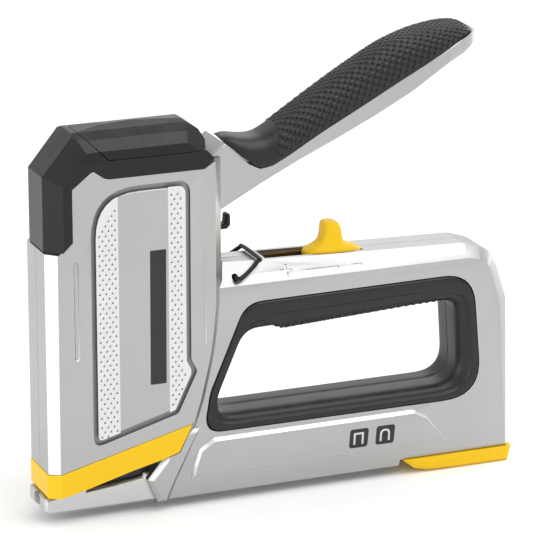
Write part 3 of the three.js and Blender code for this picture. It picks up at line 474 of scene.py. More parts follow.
# ---- building pieces
@dataclass
class Workshop:
    """Turns meshes into finished pieces that ride on the CAD bodies."""

    paint: Paintshop
    built: list[str] = field(default_factory=list)

    def finish(
        self,
        bm: BMesh,
        name: str,
        body: str,
        surfaces: Sequence[Surface],
        replaces: Sequence[str] = (),
        slot: str | None = None,
        bevel: float = 0.0,
        segments: int = 2,
        sharp: float = 32.0,
    ) -> Object:
        """Makes an object of a mesh and binds it to the frame.

        Args:
            bm: The mesh, in metres of the row frame; it is freed.
            name: The piece's name.
            body: The CAD body that it rides on.
            surfaces: Its finishes, by material index.
            replaces: The CAD nodes that it stands for.
            slot: The record's material slot; not used.
            bevel: Width of the softened edges, in millimetres.
            segments: Steps across a softened edge.
            sharp: Angle in degrees above which an edge stays crisp.

        Returns:
            The new object.
        """
        mesh = bpy.data.meshes.new(name)
        bm.to_mesh(mesh)
        bm.free()
        for surface in surfaces:
            mesh.materials.append(self.paint.material(surface))
        mesh.shade_smooth()
        mesh.set_sharp_from_angle(angle=math.radians(sharp))
        piece = add_object(name, mesh)
        if bevel:
            soften = piece.modifiers.new("soft_edges", "BEVEL")
            soften.width = bevel * MM
            soften.segments = segments
            soften.limit_method = "ANGLE"
            soften.angle_limit = math.radians(sharp)
            soften.use_clamp_overlap = True
            soften.harden_normals = True
        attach(piece, body)
        if replaces:
            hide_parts(*replaces)
        self.built.append(name)
        return piece

    def dressed(
        self,
        node: str,
        surface: Surface,
        slot: str,
        bevel: float = 0.25,
        segments: int = 2,
        sharp: float = 32.0,
        others: Sequence[Surface] = (),
        pick: Callable[[Vector, Vector], int] | None = None,
        reshape: Callable[[Vector], Vector] | None = None,
    ) -> None:
        """Dresses a CAD node: a clean copy of it with softened edges and a finish.

        Args:
            node: The CAD node.
            surface: Its finish.
            slot: The record's material slot.
            bevel: Width of the softened edges, in millimetres.
            segments: Steps across a softened edge.
            sharp: Angle in degrees above which an edge counts as one.
            others: Further finishes for some of its faces.
            pick: Tells from a face's middle and normal which finish it takes, 0 for the first.
            reshape: Moves each of the copy's points.
        """
        source = frame["nodes"][node]
        bm = bmesh.new()
        bm.from_mesh(source.data)
        bmesh.ops.remove_doubles(bm, verts=bm.verts[:], dist=3e-6)
        bmesh.ops.dissolve_degenerate(bm, dist=1e-6, edges=bm.edges[:])
        bmesh.ops.dissolve_limit(bm, angle_limit=math.radians(0.03), verts=bm.verts[:], edges=bm.edges[:])
        bmesh.ops.recalc_face_normals(bm, faces=bm.faces[:])
        for vert in bm.verts:
            vert.co = reshape(vert.co) if reshape else vert.co
        for face in bm.faces:
            face.material_index = pick(face.calc_center_median(), face.normal) if pick else 0
        surfaces, body = [surface, *others], source["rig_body"]
        self.finish(bm, node + "_dressed", body, surfaces, [node], slot, bevel, segments, sharp)

    def rubber(
        self, node: str, body: str, skin: BMesh, scales: BMesh, sharp: float
    ) -> None:
        """Finishes the soft skin that stands for a CAD node, and the scales on it."""
        self.finish(skin, f"{node}_soft", body, [Surface.RUBBER], [node], "soft_rubber", sharp=sharp)
        # The scales' second finish is painted shade on their feet.
        surfaces = [Surface.RUBBER, Surface.RUBBER_FOOT_SHADE]
        self.finish(scales, f"{node}_scales", body, surfaces, slot="soft_rubber", sharp=10)


def add_prism(
    bm: BMesh,
    outline: Sequence[Vector],
    low: float,
    high: float,
    material: int = 0,
    snip: float = 0.0,
) -> None:
    """Adds a plate, drawn in X and Z and running from low to high across the tool.

    Args:
        bm: The mesh to add to.
        outline: 2-D points in tool millimetres.
        low: Its lower Y.
        high: Its upper Y.
        material: Material index of its faces.
        snip: Width of a bevel round its outer rims.
    """
    face = bm.faces.new([bm.verts.new(place(p.x, low, p.y)) for p in outline])
    made = bmesh.ops.extrude_face_region(bm, geom=[face])
    verts = [v for v in made["geom"] if isinstance(v, BMVert)]
    bmesh.ops.translate(bm, verts=verts, vec=(0, (high - low) * MM, 0))
    every = list(face.verts) + verts
    faces = list(dict.fromkeys(f for v in every for f in v.link_faces))
    bmesh.ops.recalc_face_normals(bm, faces=faces)
    for f in faces:
        f.material_index = material
    if snip:
        edges = dict.fromkeys(e for v in every for e in v.link_edges)
        rims = [e for e in edges if abs(e.verts[0].co.y - e.verts[1].co.y) < 1e-7]
        bmesh.ops.bevel(bm, geom=rims, offset=snip * MM, segments=1, profile=0.5, affect="EDGES", material=-1)


def add_tube(bm: BMesh, line: Sequence[Vector], radius: float, sides: int = 10) -> None:
    """Adds a round wire along a line of 3-D points in tool millimetres."""
    spots = [place(*p) for p in line]
    ahead = (spots[1] - spots[0]).normalized()
    across = ahead.orthogonal().normalized()
    rings = []
    for i, spot in enumerate(spots):
        forward = (spots[min(i + 1, len(spots) - 1)] - spots[max(i - 1, 0)]).normalized()
        across = (across - forward * across.dot(forward)).normalized()
        up = forward.cross(across)
        turn = [2 * math.pi * k / sides for k in range(sides)]
        spokes = [across * math.cos(a) + up * math.sin(a) for a in turn]
        rings.append([bm.verts.new(spot + spoke * radius * MM) for spoke in spokes])
    for a, b in zip(rings, rings[1:]):
        for k in range(sides):
            bm.faces.new((a[k], a[(k + 1) % sides], b[(k + 1) % sides], b[k]))
    bm.faces.new(rings[0])
    bm.faces.new(rings[-1])
    bmesh.ops.recalc_face_normals(bm, faces=bm.faces[:])


@dataclass
class Stud:
    """One small scale of a grip texture: a long sloping back and a short steep foot, whose facet takes the
    second material as painted shade.
    """

    width: float
    length: float
    height: float

    def add(self, bm: BMesh, spot: Vector, along: Vector, across: Vector, out: Vector) -> None:
        """Adds the scale to a mesh.

        Args:
            bm: The mesh to add to.
            spot: Its middle on the surface, in metres.
            along: Unit direction that its foot points to.
            across: Unit direction across it.
            out: Unit normal of the surface.
        """
        w, l = self.width / 2 * MM, self.length / 2 * MM

        def point(a: float, c: float, h: float = -0.04 * MM) -> BMVert:
            """A vertex at a share of the length and width and a height."""
            return bm.verts.new(spot + along * (a * l) + across * (c * w) + out * h)

        back = point(-1, 0)
        left, right = point(-0.1, -1), point(-0.1, 1)
        foot_left, foot_right = point(0.95, -0.45), point(0.95, 0.45)
        peak = point(0.3, 0, self.height * MM)
        loop = [back, left, foot_left, foot_right, right]
        for a, b in zip(loop, loop[1:] + loop[:1]):
            face = bm.faces.new((a, b, peak))
            # The foot facet takes material 1, a dark colour that paints its shade.
            face.material_index = 1 if (a, b) == (foot_left, foot_right) else 0
            face.normal_update()
            if face.normal.dot(out) < 0:
                face.normal_flip()


@dataclass
class Loft:
    """A skin over rings of points, in tool millimetres."""

    rings: list[list[Vector]]
    closed_along: bool
    closed_across: bool

    def skin(self, bm: BMesh) -> None:
        """Adds the skin's faces, with flat ends where the loft is open."""
        grid = [[bm.verts.new(place(*p)) for p in ring] for ring in self.rings]
        spans = len(grid) if self.closed_along else len(grid) - 1
        steps = len(grid[0]) if self.closed_across else len(grid[0]) - 1
        for i in range(spans):
            a, b = grid[i], grid[(i + 1) % len(grid)]
            for j in range(steps):
                k = (j + 1) % len(a)
                bm.faces.new((a[j], a[k], b[k], b[j]))
        if not self.closed_along:
            bm.faces.new(grid[0])
            bm.faces.new(grid[-1])
        bmesh.ops.recalc_face_normals(bm, faces=bm.faces[:])

    def spot(self, i: float, j: float) -> tuple[Vector, Vector, Vector, Vector]:
        """Finds the surface at fractional ring and point numbers.

        Args:
            i: Ring number.
            j: Point number within a ring.

        Returns:
            Position in metres, then unit directions along, across and out.
        """

        def at(a: float, b: float) -> Vector:
            """The interpolated point."""
            p, q = int(a), int(b)
            n, m = len(self.rings), len(self.rings[0])
            lower = self.rings[p % n][q % m].lerp(self.rings[p % n][(q + 1) % m], b - q)
            upper = self.rings[(p + 1) % n][q % m].lerp(self.rings[(p + 1) % n][(q + 1) % m], b - q)
            return lower.lerp(upper, a - p)

        along = (at(i + 0.5, j) - at(i - 0.5, j)).normalized()
        across = (at(i, j + 0.2) - at(i, j - 0.2)).normalized()
        out = along.cross(across).normalized()
        return place(*at(i, j)), along, out.cross(along), out


# ---- shared outlines
HAND_OPENING = [
    (HEAD - 9.8, 27, 11), (HEAD - 6.6, 45.5, 20), (HEAD + 10, 84.1, 12),
    (TAIL - 22, 85.1, 16), (TAIL - 17, 27, 17),
]
HAND_HOLE = [
    (HEAD - 5, 34, 8), (HEAD + 11, 70.8, 13), (HEAD + 25, 70.6, 5), (HEAD + 29.5, 68.8, 7),
    (TAIL - 42, 72.1, 10), (TAIL - 29.5, 72.9, 12), (TAIL - 27, 34, 12),
]
PLATE_PANEL = [
    (19, 28.2, 4), (HEAD - 22, 38.9, 4), (HEAD - 13.2, 57.2, 3),
    (HEAD - 16, 62.8, 3), (HEAD - 16, 142.4, 6), (19, 142.4, 22),
]


# ---- sub-assemblies
@dataclass
class Castings:
    """The two die-cast halves of head, handle frame and pads, with the printed staple signs."""

    shop: Workshop

    def build(self) -> None:
        """Dresses both halves and prints the signs on both pads."""
        # Extra finishes: painted shade on the recess floors, painted highlight on the slants.
        others = (Surface.GROOVE_SHADE, Surface.EDGE_HIGHLIGHT)
        for _, word in SIDES:
            node = f"{word}_body_shell"
            self.shop.dressed(node, Surface.CAST, "cast_aluminium", 0.35, others=others, pick=self._painted_light_pick)
        for side, word in SIDES:
            self._signs(side, word)

    @staticmethod
    def _painted_light_pick(middle: Vector, normal: Vector) -> int:
        """Picks 1, painted shade, for the floor under a side plate, 2, a painted highlight, for the slants of
        head front and lower pads, else 0.
        """
        # Recess floor round a side plate: painted shade.
        floor = abs(normal.y) > 0.9 and abs(abs(middle.y) - PLATE_FLOOR * MM) < 0.2 * MM
        if floor and middle.x < place(68, 0, 0).x:
            return 1
        # Slants of the head front and of the lower pads: painted highlight.
        front = normal.x < -0.4 and abs(normal.y) > 0.4 and middle.x < place(9, 0, 0).x
        pad = abs(normal.y) > 0.4 and abs(normal.y) < 0.95 and place(0, 0, 8).z < middle.z
        return 2 if front or (pad and middle.z < place(0, 0, 26).z and middle.x > place(66, 0, 0).x) else 0

    def _signs(self, side: int, word: str) -> None:
        """Prints two square signs, a flat-crown and a round-crown staple, on one pad."""
        bm = bmesh.new()
        face = side * PAD_HALF
        low, high = sorted((face - side * 0.02, face + side * 0.03))
        mark_low, mark_high = sorted((face + side * 0.02, face + side * 0.05))
        for x, arch in ((142.0, False), (154.6, True)):
            square = [(x - 4.7, 11.4, 1.4), (x + 4.1, 11.4, 1.4), (x + 4.9, 20.0, 1.4), (x - 4.0, 20.0, 1.4)]
            add_prism(bm, rounded(square, 5), low, high)
            if arch:
                outer = [(x - 2.6, 12.9), (x - 2.3, 18.4, 2.4), (x + 2.5, 18.4, 2.4), (x + 2.2, 12.9)]
                inner = [(x + 1.3, 12.9), (x + 1.6, 17.5, 1.6), (x - 1.4, 17.5, 1.6), (x - 1.7, 12.9)]
            else:
                outer = [(x - 2.6, 12.9), (x - 2.3, 18.3), (x + 2.5, 18.3), (x + 2.2, 12.9)]
                inner = [(x + 1.3, 12.9), (x + 1.5, 17.4), (x - 1.4, 17.4), (x - 1.7, 12.9)]
            add_prism(bm, rounded(outer, 5) + rounded(inner, 5), mark_low, mark_high, 1)
        self.shop.finish(bm, f"{word}_staple_signs", "body", [Surface.PRINT, Surface.PALE_PRINT])


@dataclass
class Crown:
    """The black nose guard and the cap above it."""

    shop: Workshop

    def build(self) -> None:
        """Dresses the guard and the cap."""
        self.shop.dressed("front_guard", Surface.BLACK, "black_plastic", 1.1, 4, 20, reshape=self._set_back)
        self.shop.dressed("top_cap", Surface.BLACK, "black_plastic", 1.4, 4, 14)

    @staticmethod
    def _set_back(point: Vector) -> Vector:
        """Sets the guard's front face back, close to the head."""
        share = min(max((place(12, 0, 0).x - point.x) / (12 * MM), 0), 1)
        return point + Vector((GUARD_SET_BACK * MM * share, 0, 0))


@dataclass
class SidePlates:
    """The two inlaid side plates, each with two strips of grip scales and a plain dark bar."""

    shop: Workshop
    column_pitch: float = 1.38
    row_pitch: float = 4.24

    def build(self) -> None:
        """Builds both plates."""
        for side, word in SIDES:
            self.shop.dressed(f"{word}_side_plate", Surface.PLATE, "plate_grey", 0.15)
            self._strips(side, word)
            self._bar(side, word)

    def _strips(self, side: int, word: str) -> None:
        """Covers the two strips of one plate with scales."""
        field_edge = rounded(inset(PLATE_PANEL, 2.2), 8)
        bm = bmesh.new()
        stud = Stud(2.7, 4.2, 0.26)
        face = side * (HEAD_HALF + 0.2)
        low, high = sorted((face - side * 0.02, face + side * 0.03))
        down, rearward = Vector((0, 0, -1)), Vector((1, 0, 0))
        for x0, x1 in ((20.6, 30.4), (54.2, 62.6)):
            add_prism(bm, between(field_edge, x0 - 0.7, x1 + 0.7), low, high)
            columns = int((x1 - x0) / self.column_pitch)
            for column in range(columns):
                x = x0 + (column + 0.5) * (x1 - x0) / columns
                for row in range(40):
                    z = 28 + (row + 0.5 * (column % 2)) * self.row_pitch
                    corners = [Vector((x + dx, z + dz)) for dx in (-0.9, 0.9) for dz in (-1.6, 1.6)]
                    if all(inside(corner, field_edge) for corner in corners):
                        stud.add(bm, place(x, face + side * 0.05, z), down, rearward, Vector((0, side, 0)))
        # The second finish is painted shade on the scales' feet.
        surfaces = [Surface.BUMPS, Surface.BUMP_FOOT_SHADE]
        self.shop.finish(bm, f"{word}_grip_strips", "body", surfaces, slot="plate_grey", sharp=12)

    def _bar(self, side: int, word: str) -> None:
        """Prints the plain bar that fills the plate's label field."""
        bm = bmesh.new()
        bar = [(44.9, 53.6, 0.5), (52.1, 53.6, 0.5), (52.4, 113.2, 0.5), (45.2, 113.2, 0.5)]
        low, high = sorted((side * 16.18, side * 16.24))
        add_prism(bm, rounded(bar, 4), low, high)
        self.shop.finish(bm, f"{word}_label_bar", "body", [Surface.PRINT], slot="plate_grey")


@dataclass
class GripLiner:
    """The soft liner of the hand opening, with a raised rim and scales under the upper bar."""

    shop: Workshop
    stations: int = 220

    def section(self) -> list[tuple[float, float]]:
        """Half of its section: share of the way to the hole, and distance from the mid-plane."""
        return [
            (0.0, 12.4), (0.02, 13.6), (0.06, 14.1), (0.12, 14.2), (0.34, 14.2), (0.38, 14.12),
            (0.42, 13.85), (0.46, 13.3), (0.5, 12.95), (0.58, 12.8), (0.7, 12.3), (0.82, 11.4),
            (0.92, 10.2), (0.98, 8.8), (1.0, 7.4), (1.0, 3.5), (1.0, 0.35), (0.975, 0.12),
        ]

    def build(self) -> None:
        """Builds the liner."""
        outer = rounded(inset(HAND_OPENING, 0.3), 14)
        hole = resampled(rounded(HAND_HOLE, 12), self.stations)
        middle = Vector((135.0, 54.0))
        half = self.section()
        across = [(u, -y) for u, y in half] + [(u, y) for u, y in reversed(half)]
        rings = []
        for near in hole:
            far = self._beyond(middle, near, outer)
            rings.append([Vector((*far.lerp(near, u), 0)).xzy + Vector((0, y, 0)) for u, y in across])
        for ring in rings:
            ring.append(Vector((ring[0].x, 0, ring[0].z)))
        loft = Loft(rings, True, True)
        skin, scales = bmesh.new(), bmesh.new()
        loft.skin(skin)
        self._texture(scales, loft, hole)
        self.shop.rubber("grip_liner", "body", skin, scales, 38)

    @staticmethod
    def _beyond(middle: Vector, near: Vector, outline: Sequence[Vector]) -> Vector:
        """Finds where the ray from the middle through a point of the hole meets the outer outline."""
        ray = (near - middle).normalized()
        best = near
        for a, b in neighbours(outline):
            edge = b - a
            cross = ray.x * edge.y - ray.y * edge.x
            if abs(cross) < 1e-9:
                continue
            gap = a - middle
            reach = (gap.x * edge.y - gap.y * edge.x) / cross
            share = (gap.x * ray.y - gap.y * ray.x) / cross
            if reach > 0 and -1e-6 <= share <= 1 + 1e-6:
                best = middle + ray * reach
        return best

    def _texture(self, bm: BMesh, loft: Loft, hole: Sequence[Vector]) -> None:
        """Sets scales on the inner slope of the upper bar."""
        stud = Stud(2.2, 2.9, 0.36)
        pitch = sum((b - a).length for a, b in zip(hole, hole[1:])) / len(hole)
        last = len(self.section()) * 2
        lines = [11.0, 11.8, 12.6, 13.4, 14.15, 14.45, 14.75]
        for number, j in enumerate(lines + [last - 1 - k for k in lines]):
            i = 0.0
            while i < len(hole) - 1:
                spot = hole[int(i)]
                if 107 < spot.x < 187 and spot.y > 60:
                    where, _, side, out = loft.spot(i + (0.5 * (number % 2)) * 3.4 / pitch, j)
                    down = Vector((0, 0, -1))
                    foot = (down - out * down.dot(out)).normalized() if number % 7 < 4 else side
                    stud.add(bm, where, foot, foot.cross(out), self._outward(out, where))
                i += 3.4 / pitch

    @staticmethod
    def _outward(out: Vector, where: Vector) -> Vector:
        """Turns a normal so that it points out of the rubber, towards the hole or the side."""
        to_hole = Vector(((135 + ORIGIN_X) * MM, where.y * 2.2, (54 + FOOT_DROP) * MM)) - where
        return out if out.dot(to_hole) > 0 else -out


@dataclass
class Lever:
    """The squeezing lever: arm, soft grip, lifting fork, rivet and catch."""

    shop: Workshop

    def profile(self) -> list[tuple[float, float, float, float, float]]:
        """Stations of the grip: lower edge X and Z, top X and Z, and half width."""
        return [
            (81.6, 155.4, 82.2, 155.9, 4.0), (84.2, 153.4, 86.0, 156.2, 7.5),
            (87.6, 150.2, 91.2, 155.3, 10.0), (91.5, 146.5, 96.0, 154.8, 11.5),
            (95.0, 143.9, 99.6, 155.2, 12.0), (98.5, 143.0, 102.6, 156.4, 12.1),
            (103.5, 144.2, 106.6, 158.7, 12.1), (109.2, 147.2, 111.0, 161.6, 12.1),
            (117.8, 152.1, 117.0, 165.4, 12.1), (126.5, 157.0, 124.5, 170.2, 12.1),
            (143.8, 165.8, 139.0, 179.1, 12.1), (161.1, 175.0, 154.6, 187.7, 12.1),
            (170.0, 179.5, 163.4, 191.3, 12.1), (178.6, 184.0, 172.2, 193.9, 12.0),
            (186.0, 187.8, 181.0, 195.4, 11.5), (190.8, 190.4, 187.5, 195.9, 10.4),
            (194.6, 191.5, 192.4, 195.6, 8.6), (197.6, 191.9, 196.6, 194.1, 6.0),
            (199.2, 191.6, 198.9, 192.6, 2.6),
        ]

    def build(self) -> None:
        """Builds every piece on the lever."""
        self.shop.dressed("lever_arm", Surface.CAST, "cast_aluminium", 0.3)
        self._grip()
        self.shop.dressed("lifting_fork", Surface.STEEL, "bright_steel", 0.2)
        self.shop.dressed("fork_rivet", Surface.STEEL, "bright_steel", 0.3)
        self.shop.dressed("lever_hook", Surface.DARK_STEEL, "black_plastic", 0.15)

    def _grip(self) -> None:
        """Builds the soft grip and its scales."""
        edges = [Vector((a, b, c, d)) for a, b, c, d, _ in self.profile()]
        widths = [Vector((w, 0)) for *_, w in self.profile()]
        low = spline([Vector((e[0], e[1])) for e in edges], 5)
        top = spline([Vector((e[2], e[3])) for e in edges], 5)
        half = [v.x for v in spline(widths, 5)]
        steps = 15
        rings = []
        for foot, crest, width in zip(low, top, half):
            ring = []
            for k in range(2 * steps + 1):
                turn = math.pi * k / (2 * steps)
                y = -width * math.copysign(abs(math.cos(turn)) ** 0.62, math.cos(turn))
                rise = math.sin(turn) ** 0.85
                x, z = (foot[i] + (crest[i] - foot[i]) * rise for i in (0, 1))
                ring.append(Vector((x, y, z)))
            rings.append(ring)
        skin, scales = bmesh.new(), bmesh.new()
        Loft(rings, False, True).skin(skin)
        self._texture(scales, rings)
        self.shop.rubber("lever_grip", "lever", skin, scales, 42)

    def _texture(self, bm: BMesh, rings: Sequence[Sequence[Vector]]) -> None:
        """Covers the rear three quarters of the grip with scales."""
        first = 32
        rows = [resampled(ring, 25, False) for ring in rings]
        reach = [0.0]
        for a, b in zip(rows[first:], rows[first + 1 :]):
            reach.append(reach[-1] + (b[12] - a[12]).length)
        loft = Loft(rows, False, False)
        stud = Stud(2.3, 3.5, 0.42)
        for column in range(1, 24):
            count = int(reach[-1] / 3.6)
            for step in range(count):
                goal = (step + 0.5 * (column % 2)) * 3.6
                k = max(n for n, r in enumerate(reach) if r <= goal)
                if k >= len(reach) - 5:
                    continue
                i = first + k + (goal - reach[k]) / (reach[k + 1] - reach[k])
                where, along, side, out = loft.spot(i, column)
                away = where - place(160, 0, 160)
                stud.add(bm, where, -along, side, out if out.dot(Vector((0, away.y * 3, 0.01))) > 0 else -out)


@dataclass
class PowerKnob:
    """The thumb knob of the power slider: a rounded foot that narrows into a flat-topped post."""

    shop: Workshop
    slope: float = 0.031

    def build(self) -> None:
        """Lofts the knob from plan sections: height, front and rear X, half width and squareness."""
        levels = [
            (96.7, 121.6, 148.3, 6.2, 2.8), (98.2, 121.3, 148.5, 6.4, 2.8),
            (99.8, 121.9, 147.6, 6.3, 2.7), (101.1, 124.0, 144.6, 5.8, 2.7),
            (102.5, 127.0, 141.0, 5.2, 2.8), (104.6, 128.9, 139.3, 4.7, 3.0),
            (107.5, 129.6, 138.7, 4.5, 3.4), (110.2, 129.9, 138.0, 4.4, 3.4),
            (111.6, 130.4, 137.2, 4.1, 3.2), (112.2, 131.5, 136.0, 3.3, 3.0),
        ]
        turns = [2 * math.pi * k / 40 for k in range(40)]
        smooth = [spline([self._rim(turn, *level) for level in levels], 4) for turn in turns]
        bm = bmesh.new()
        Loft([list(ring) for ring in zip(*smooth)], False, True).skin(bm)
        body = frame["nodes"]["slider_knob"]["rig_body"]
        surfaces = [Surface.YELLOW]
        self.shop.finish(bm, "power_knob", body, surfaces, ["slider_knob"], "yellow_plastic", sharp=50)

    def _rim(
        self, turn: float, height: float, front: float, rear: float, half: float, power: float
    ) -> Vector:
        """Finds a point of a rounded-square rim that lies parallel to the sloping rail."""
        middle, reach = (front + rear) / 2, (rear - front) / 2
        c, s = math.cos(turn), math.sin(turn)
        x = middle + reach * math.copysign(abs(c) ** (2 / power), c)
        y = half * math.copysign(abs(s) ** (2 / power), s)
        return Vector((x, y, height - self.slope * (x - 133.5)))


@dataclass
class SmallParts:
    """Pieces whose CAD shape only needs softened edges and a finish."""

    shop: Workshop

    def build(self) -> None:
        """Dresses each piece."""
        steel = ("bright_steel", Surface.STEEL)
        spring = ("spring_steel", Surface.SPRING)
        plan = {
            "nose_band": ("yellow_plastic", Surface.YELLOW, 0.35),
            "magazine_foot": ("yellow_plastic", Surface.YELLOW, 0.5),
            "nose_frame": (*steel, 0.25),
            # The channel's dark colour is painted shade.
            "magazine_channel": ("bright_steel", Surface.CHANNEL_SHADE, 0.15),
            "magazine_rail": (*steel, 0.12),
            "pusher_rod": (*steel, 0.2),
            "rod_bracket": (*steel, 0.2),
            "hammer_block": (*steel, 0.4),
            "fulcrum_block": (*steel, 0.3),
            "spring_anchor": (*steel, 0.2),
            "anchor_pin": (*steel, 0.2),
            "lever_pin": (*steel, 0.3),
            "driver_blade": (*spring, 0.1),
            "slider_guide": ("zinc_yellow", Surface.ZINC, 0.12),
            "staple_pusher": ("black_plastic", Surface.BLACK, 0.25),
            "hammer_bumper": ("soft_rubber", Surface.RUBBER, 0.5),
        }
        for node, (slot, surface, bevel) in plan.items():
            self.shop.dressed(node, surface, slot, bevel)
        for name in ("head_upper", "head_lower", "head_rear", "grip_front", "grip_rear", "heel"):
            self.shop.dressed(f"{name}_screw", Surface.DARK_STEEL, "black_steel", 0.12)


@dataclass
class Springs:
    """The wound and leaf springs, and the wire bail."""

    shop: Workshop

    def build(self) -> None:
        """Builds each spring and the bail."""
        self._pusher_spring()
        self._return_spring()
        self._leaf("main_leaf_spring", 13, 89.2, 1.4)
        self._leaf("second_leaf_spring", 60, 90.9, 1.0)
        self._bail()

    def _finish(self, bm: BMesh, name: str, body: str, node: str) -> Object:
        """Finishes a wound spring that stands for one CAD node."""
        return self.shop.finish(bm, name, body, [Surface.SPRING], [node], "spring_steel", sharp=80)

    def _pusher_spring(self) -> None:
        """Winds the long spring round the pusher's rod."""
        start, end, turns = 70.7, 194.4, 26
        coil, axis = 2.1, 7
        line = []
        for k in range(turns * 18 + 1):
            angle = 2 * math.pi * k / 18
            x = start + 0.5 + (end - start - 1) * k / (turns * 18)
            line.append((x, coil * math.cos(angle), axis + coil * math.sin(angle)))
        bm = bmesh.new()
        add_tube(bm, line, 0.3, 7)
        piece = self._finish(bm, "pusher_coil", "pusher", "pusher_spring")
        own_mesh(piece)

    def _return_spring(self) -> None:
        """Winds the lever's return spring round its pin."""
        line = []
        for k in range(3 * 24 + 1):
            angle = 2 * math.pi * k / 24
            line.append((56 + 4.6 * math.cos(angle), 4.3 + 4.1 * k / 72, 118 + 4.6 * math.sin(angle)))
        bm = bmesh.new()
        add_tube(bm, line, 0.52, 8)
        self._finish(bm, "return_coil", "body", "lever_return_spring")

    def _leaf(self, node: str, start: float, low: float, thickness: float) -> None:
        """Builds a flat leaf from its front and underside, baked in place on no body."""
        bm = bmesh.new()
        count = 36
        spots = [start + (172 - start) * k / count for k in range(count + 1)]
        low_row = [Vector((x, low)) for x in spots]
        high_row = [Vector((x, low + thickness)) for x in spots]
        add_prism(bm, low_row + high_row[::-1], -4.2, 4.2, 0, 0.15)
        piece = self.shop.finish(bm, node + "_bent", "body", [Surface.SPRING], [node], "spring_steel")
        piece.parent = None
        del piece["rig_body"]
        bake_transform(piece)

    def _bail(self) -> None:
        """Bends the wire bail."""
        px, pz, reach, tilt = HEAD + 6, 95.2, 13.5, math.radians(30)
        bar_x, bar_z = px + reach * math.cos(tilt), pz + reach * math.sin(tilt)
        arm = [
            (px, 8.7, pz),
            (px, 12.7, pz),
            (px + 0.5, 13.9, pz + 0.1),
            (px + 2, 14.0, pz + 0.5),
            ((px + bar_x) / 2, 12.7, (pz + bar_z) / 2 - 0.9),
            (bar_x - 1.2, 10.9, bar_z - 0.9),
            (bar_x, 9.4, bar_z),
        ]
        left, right = [[Vector((x, side * y, z)) for x, y, z in arm] for side, _ in SIDES]
        line = spline([*left, *reversed(right)], 8)
        bm = bmesh.new()
        add_tube(bm, line, 0.93, 12)
        dark = [Surface.DARK_STEEL]
        self.shop.finish(bm, "bail_wire", "bail", dark, ["wire_bail"], "black_steel", sharp=80)


@dataclass
class StapleStick:
    """The stick of staples, each one its own small bridge of wire."""

    shop: Workshop

    def build(self) -> None:
        """Builds the stick."""
        bm = bmesh.new()
        wire, crown, low, high = 0.6, 10.6, 3.5, 14.3
        for k in range(80):
            x = 7.65 + k * 0.624
            self._bar(bm, x, wire, -crown / 2, crown / 2, high - wire, high)
            for side in (-1, 1):
                inner, outer = side * (crown / 2 - wire), side * crown / 2
                self._bar(bm, x, wire, min(inner, outer), max(inner, outer), low, high - wire)
        self.shop.finish(bm, "staples", "body", [Surface.STEEL], ["staple_stick"], "bright_steel")

    @staticmethod
    def _bar(
        bm: BMesh, x: float, wire: float, y0: float, y1: float, z0: float, z1: float
    ) -> None:
        """Adds one straight run of a staple's wire."""
        made = bmesh.ops.create_cube(bm, size=1)
        spot = place(x + wire / 2, (y0 + y1) / 2, (z0 + z1) / 2)
        size = Vector((wire, y1 - y0, z1 - z0)) * MM
        bmesh.ops.transform(bm, matrix=Matrix.LocRotScale(spot, None, size), verts=made["verts"])


# ---- studio
@dataclass(frozen=True)
class Softbox:
    """A square light that faces the tool."""

    name: str
    toward: tuple[float, float, float]
    distance: float
    size: float
    radiance: float

    def hang(self, centre: Vector) -> None:
        """Hangs the light in the scene, aimed at a point."""
        light = bpy.data.lights.new(self.name, "AREA")
        light.shape = "SQUARE"
        light.size = self.size
        light.energy = self.radiance * math.pi * self.size**2
        lamp = add_object(self.name, light)
        direction = Vector(self.toward).normalized()
        lamp.location = centre + direction * self.distance
        lamp.rotation_mode = "QUATERNION"
        lamp.rotation_quaternion = direction.to_track_quat("Z", "Y")


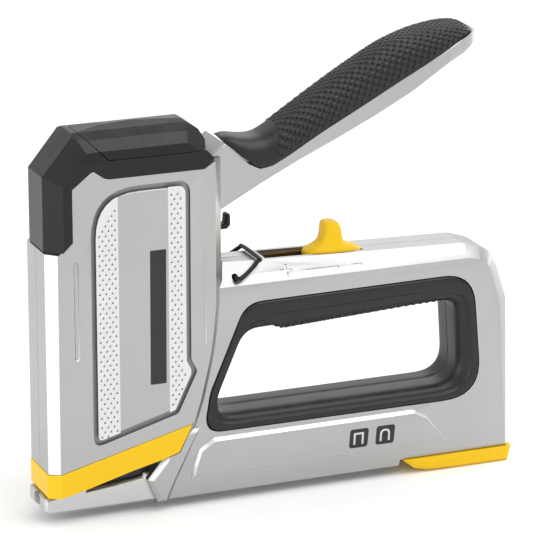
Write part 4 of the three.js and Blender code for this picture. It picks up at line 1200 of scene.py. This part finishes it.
@dataclass
class Studio:
    """Floor, world, softboxes and camera."""

    paint: Paintshop
    softboxes: Sequence[Softbox] = (
        Softbox("overhead_softbox", (0.3, -0.3, 0.9), 1.3, 1.1, 2.5),
        Softbox("front_left_softbox", (-0.93, -0.28, 0.16), 1.2, 0.8, 2.6),
        Softbox("right_softbox", (0.88, 0.36, 0.1), 1.3, 0.9, 2.4),
        Softbox("rear_softbox", (0.5, 0.8, 0.5), 1.6, 1.0, 0.8),
    )

    def build(self) -> None:
        """Sets up everything round the tool."""
        self._floor()
        self._world()
        for box in self.softboxes:
            box.hang(Vector((0, 0, 0.1)))
        self._camera()

    def _floor(self) -> None:
        """Lays a wide pale floor."""
        bm = bmesh.new()
        bmesh.ops.create_grid(bm, x_segments=1, y_segments=1, size=8)
        mesh = bpy.data.meshes.new("floor")
        bm.to_mesh(mesh)
        bm.free()
        mesh.materials.append(self.paint.material(Surface.FLOOR))
        add_object("floor", mesh)

    def _world(self) -> None:
        """Gives an even white surround."""
        world = bpy.data.worlds.new("white_room")
        world.use_nodes = True
        world.node_tree.nodes.clear()
        graph = Graph(world.node_tree)
        glow = graph.add("ShaderNodeBackground", {"Color": (1, 1, 1, 1), "Strength": 0.8})
        graph.add("ShaderNodeOutputWorld", {"Surface": glow.outputs[0]})
        scene = bpy.context.scene
        scene.world = world
        scene.view_settings.view_transform = "Standard"

    def _camera(self) -> None:
        """Sets the camera to the left of the nose, a little above."""
        data = bpy.data.cameras.new("camera")
        data.sensor_width = 36
        data.lens = 233.33
        data.clip_start, data.clip_end = 0.05, 30
        camera = add_object("camera", data)
        turn, lift = math.radians(-22), math.radians(17.5)
        back = Vector((math.sin(turn) * math.cos(lift), -math.cos(turn) * math.cos(lift), math.sin(lift)))
        right = Vector((math.cos(turn), math.sin(turn), 0))
        up = back.cross(right)
        turned = Matrix((right, up, back)).transposed().to_4x4()
        camera.matrix_world = Matrix.Translation((-0.5428, -1.3369, 0.5530)) @ turned
        bpy.context.scene.camera = camera


def write_sizes() -> None:
    """Updates the view layer."""
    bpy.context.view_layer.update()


def main() -> None:
    """Builds every sub-assembly and the studio, reporting as it goes."""
    logging.basicConfig(level=logging.INFO, format="%(name)s: %(message)s")
    paint = Paintshop()
    shop = Workshop(paint)
    for kind in (
        Castings, Crown, SidePlates, GripLiner, Lever, PowerKnob, SmallParts, Springs, StapleStick,
    ):
        before = len(shop.built)
        kind(shop).build()
        LOG.info("%s: %s", kind.__name__, ", ".join(shop.built[before:]))
    Studio(paint).build()
    write_sizes()


if __name__ == "__main__":
    main()
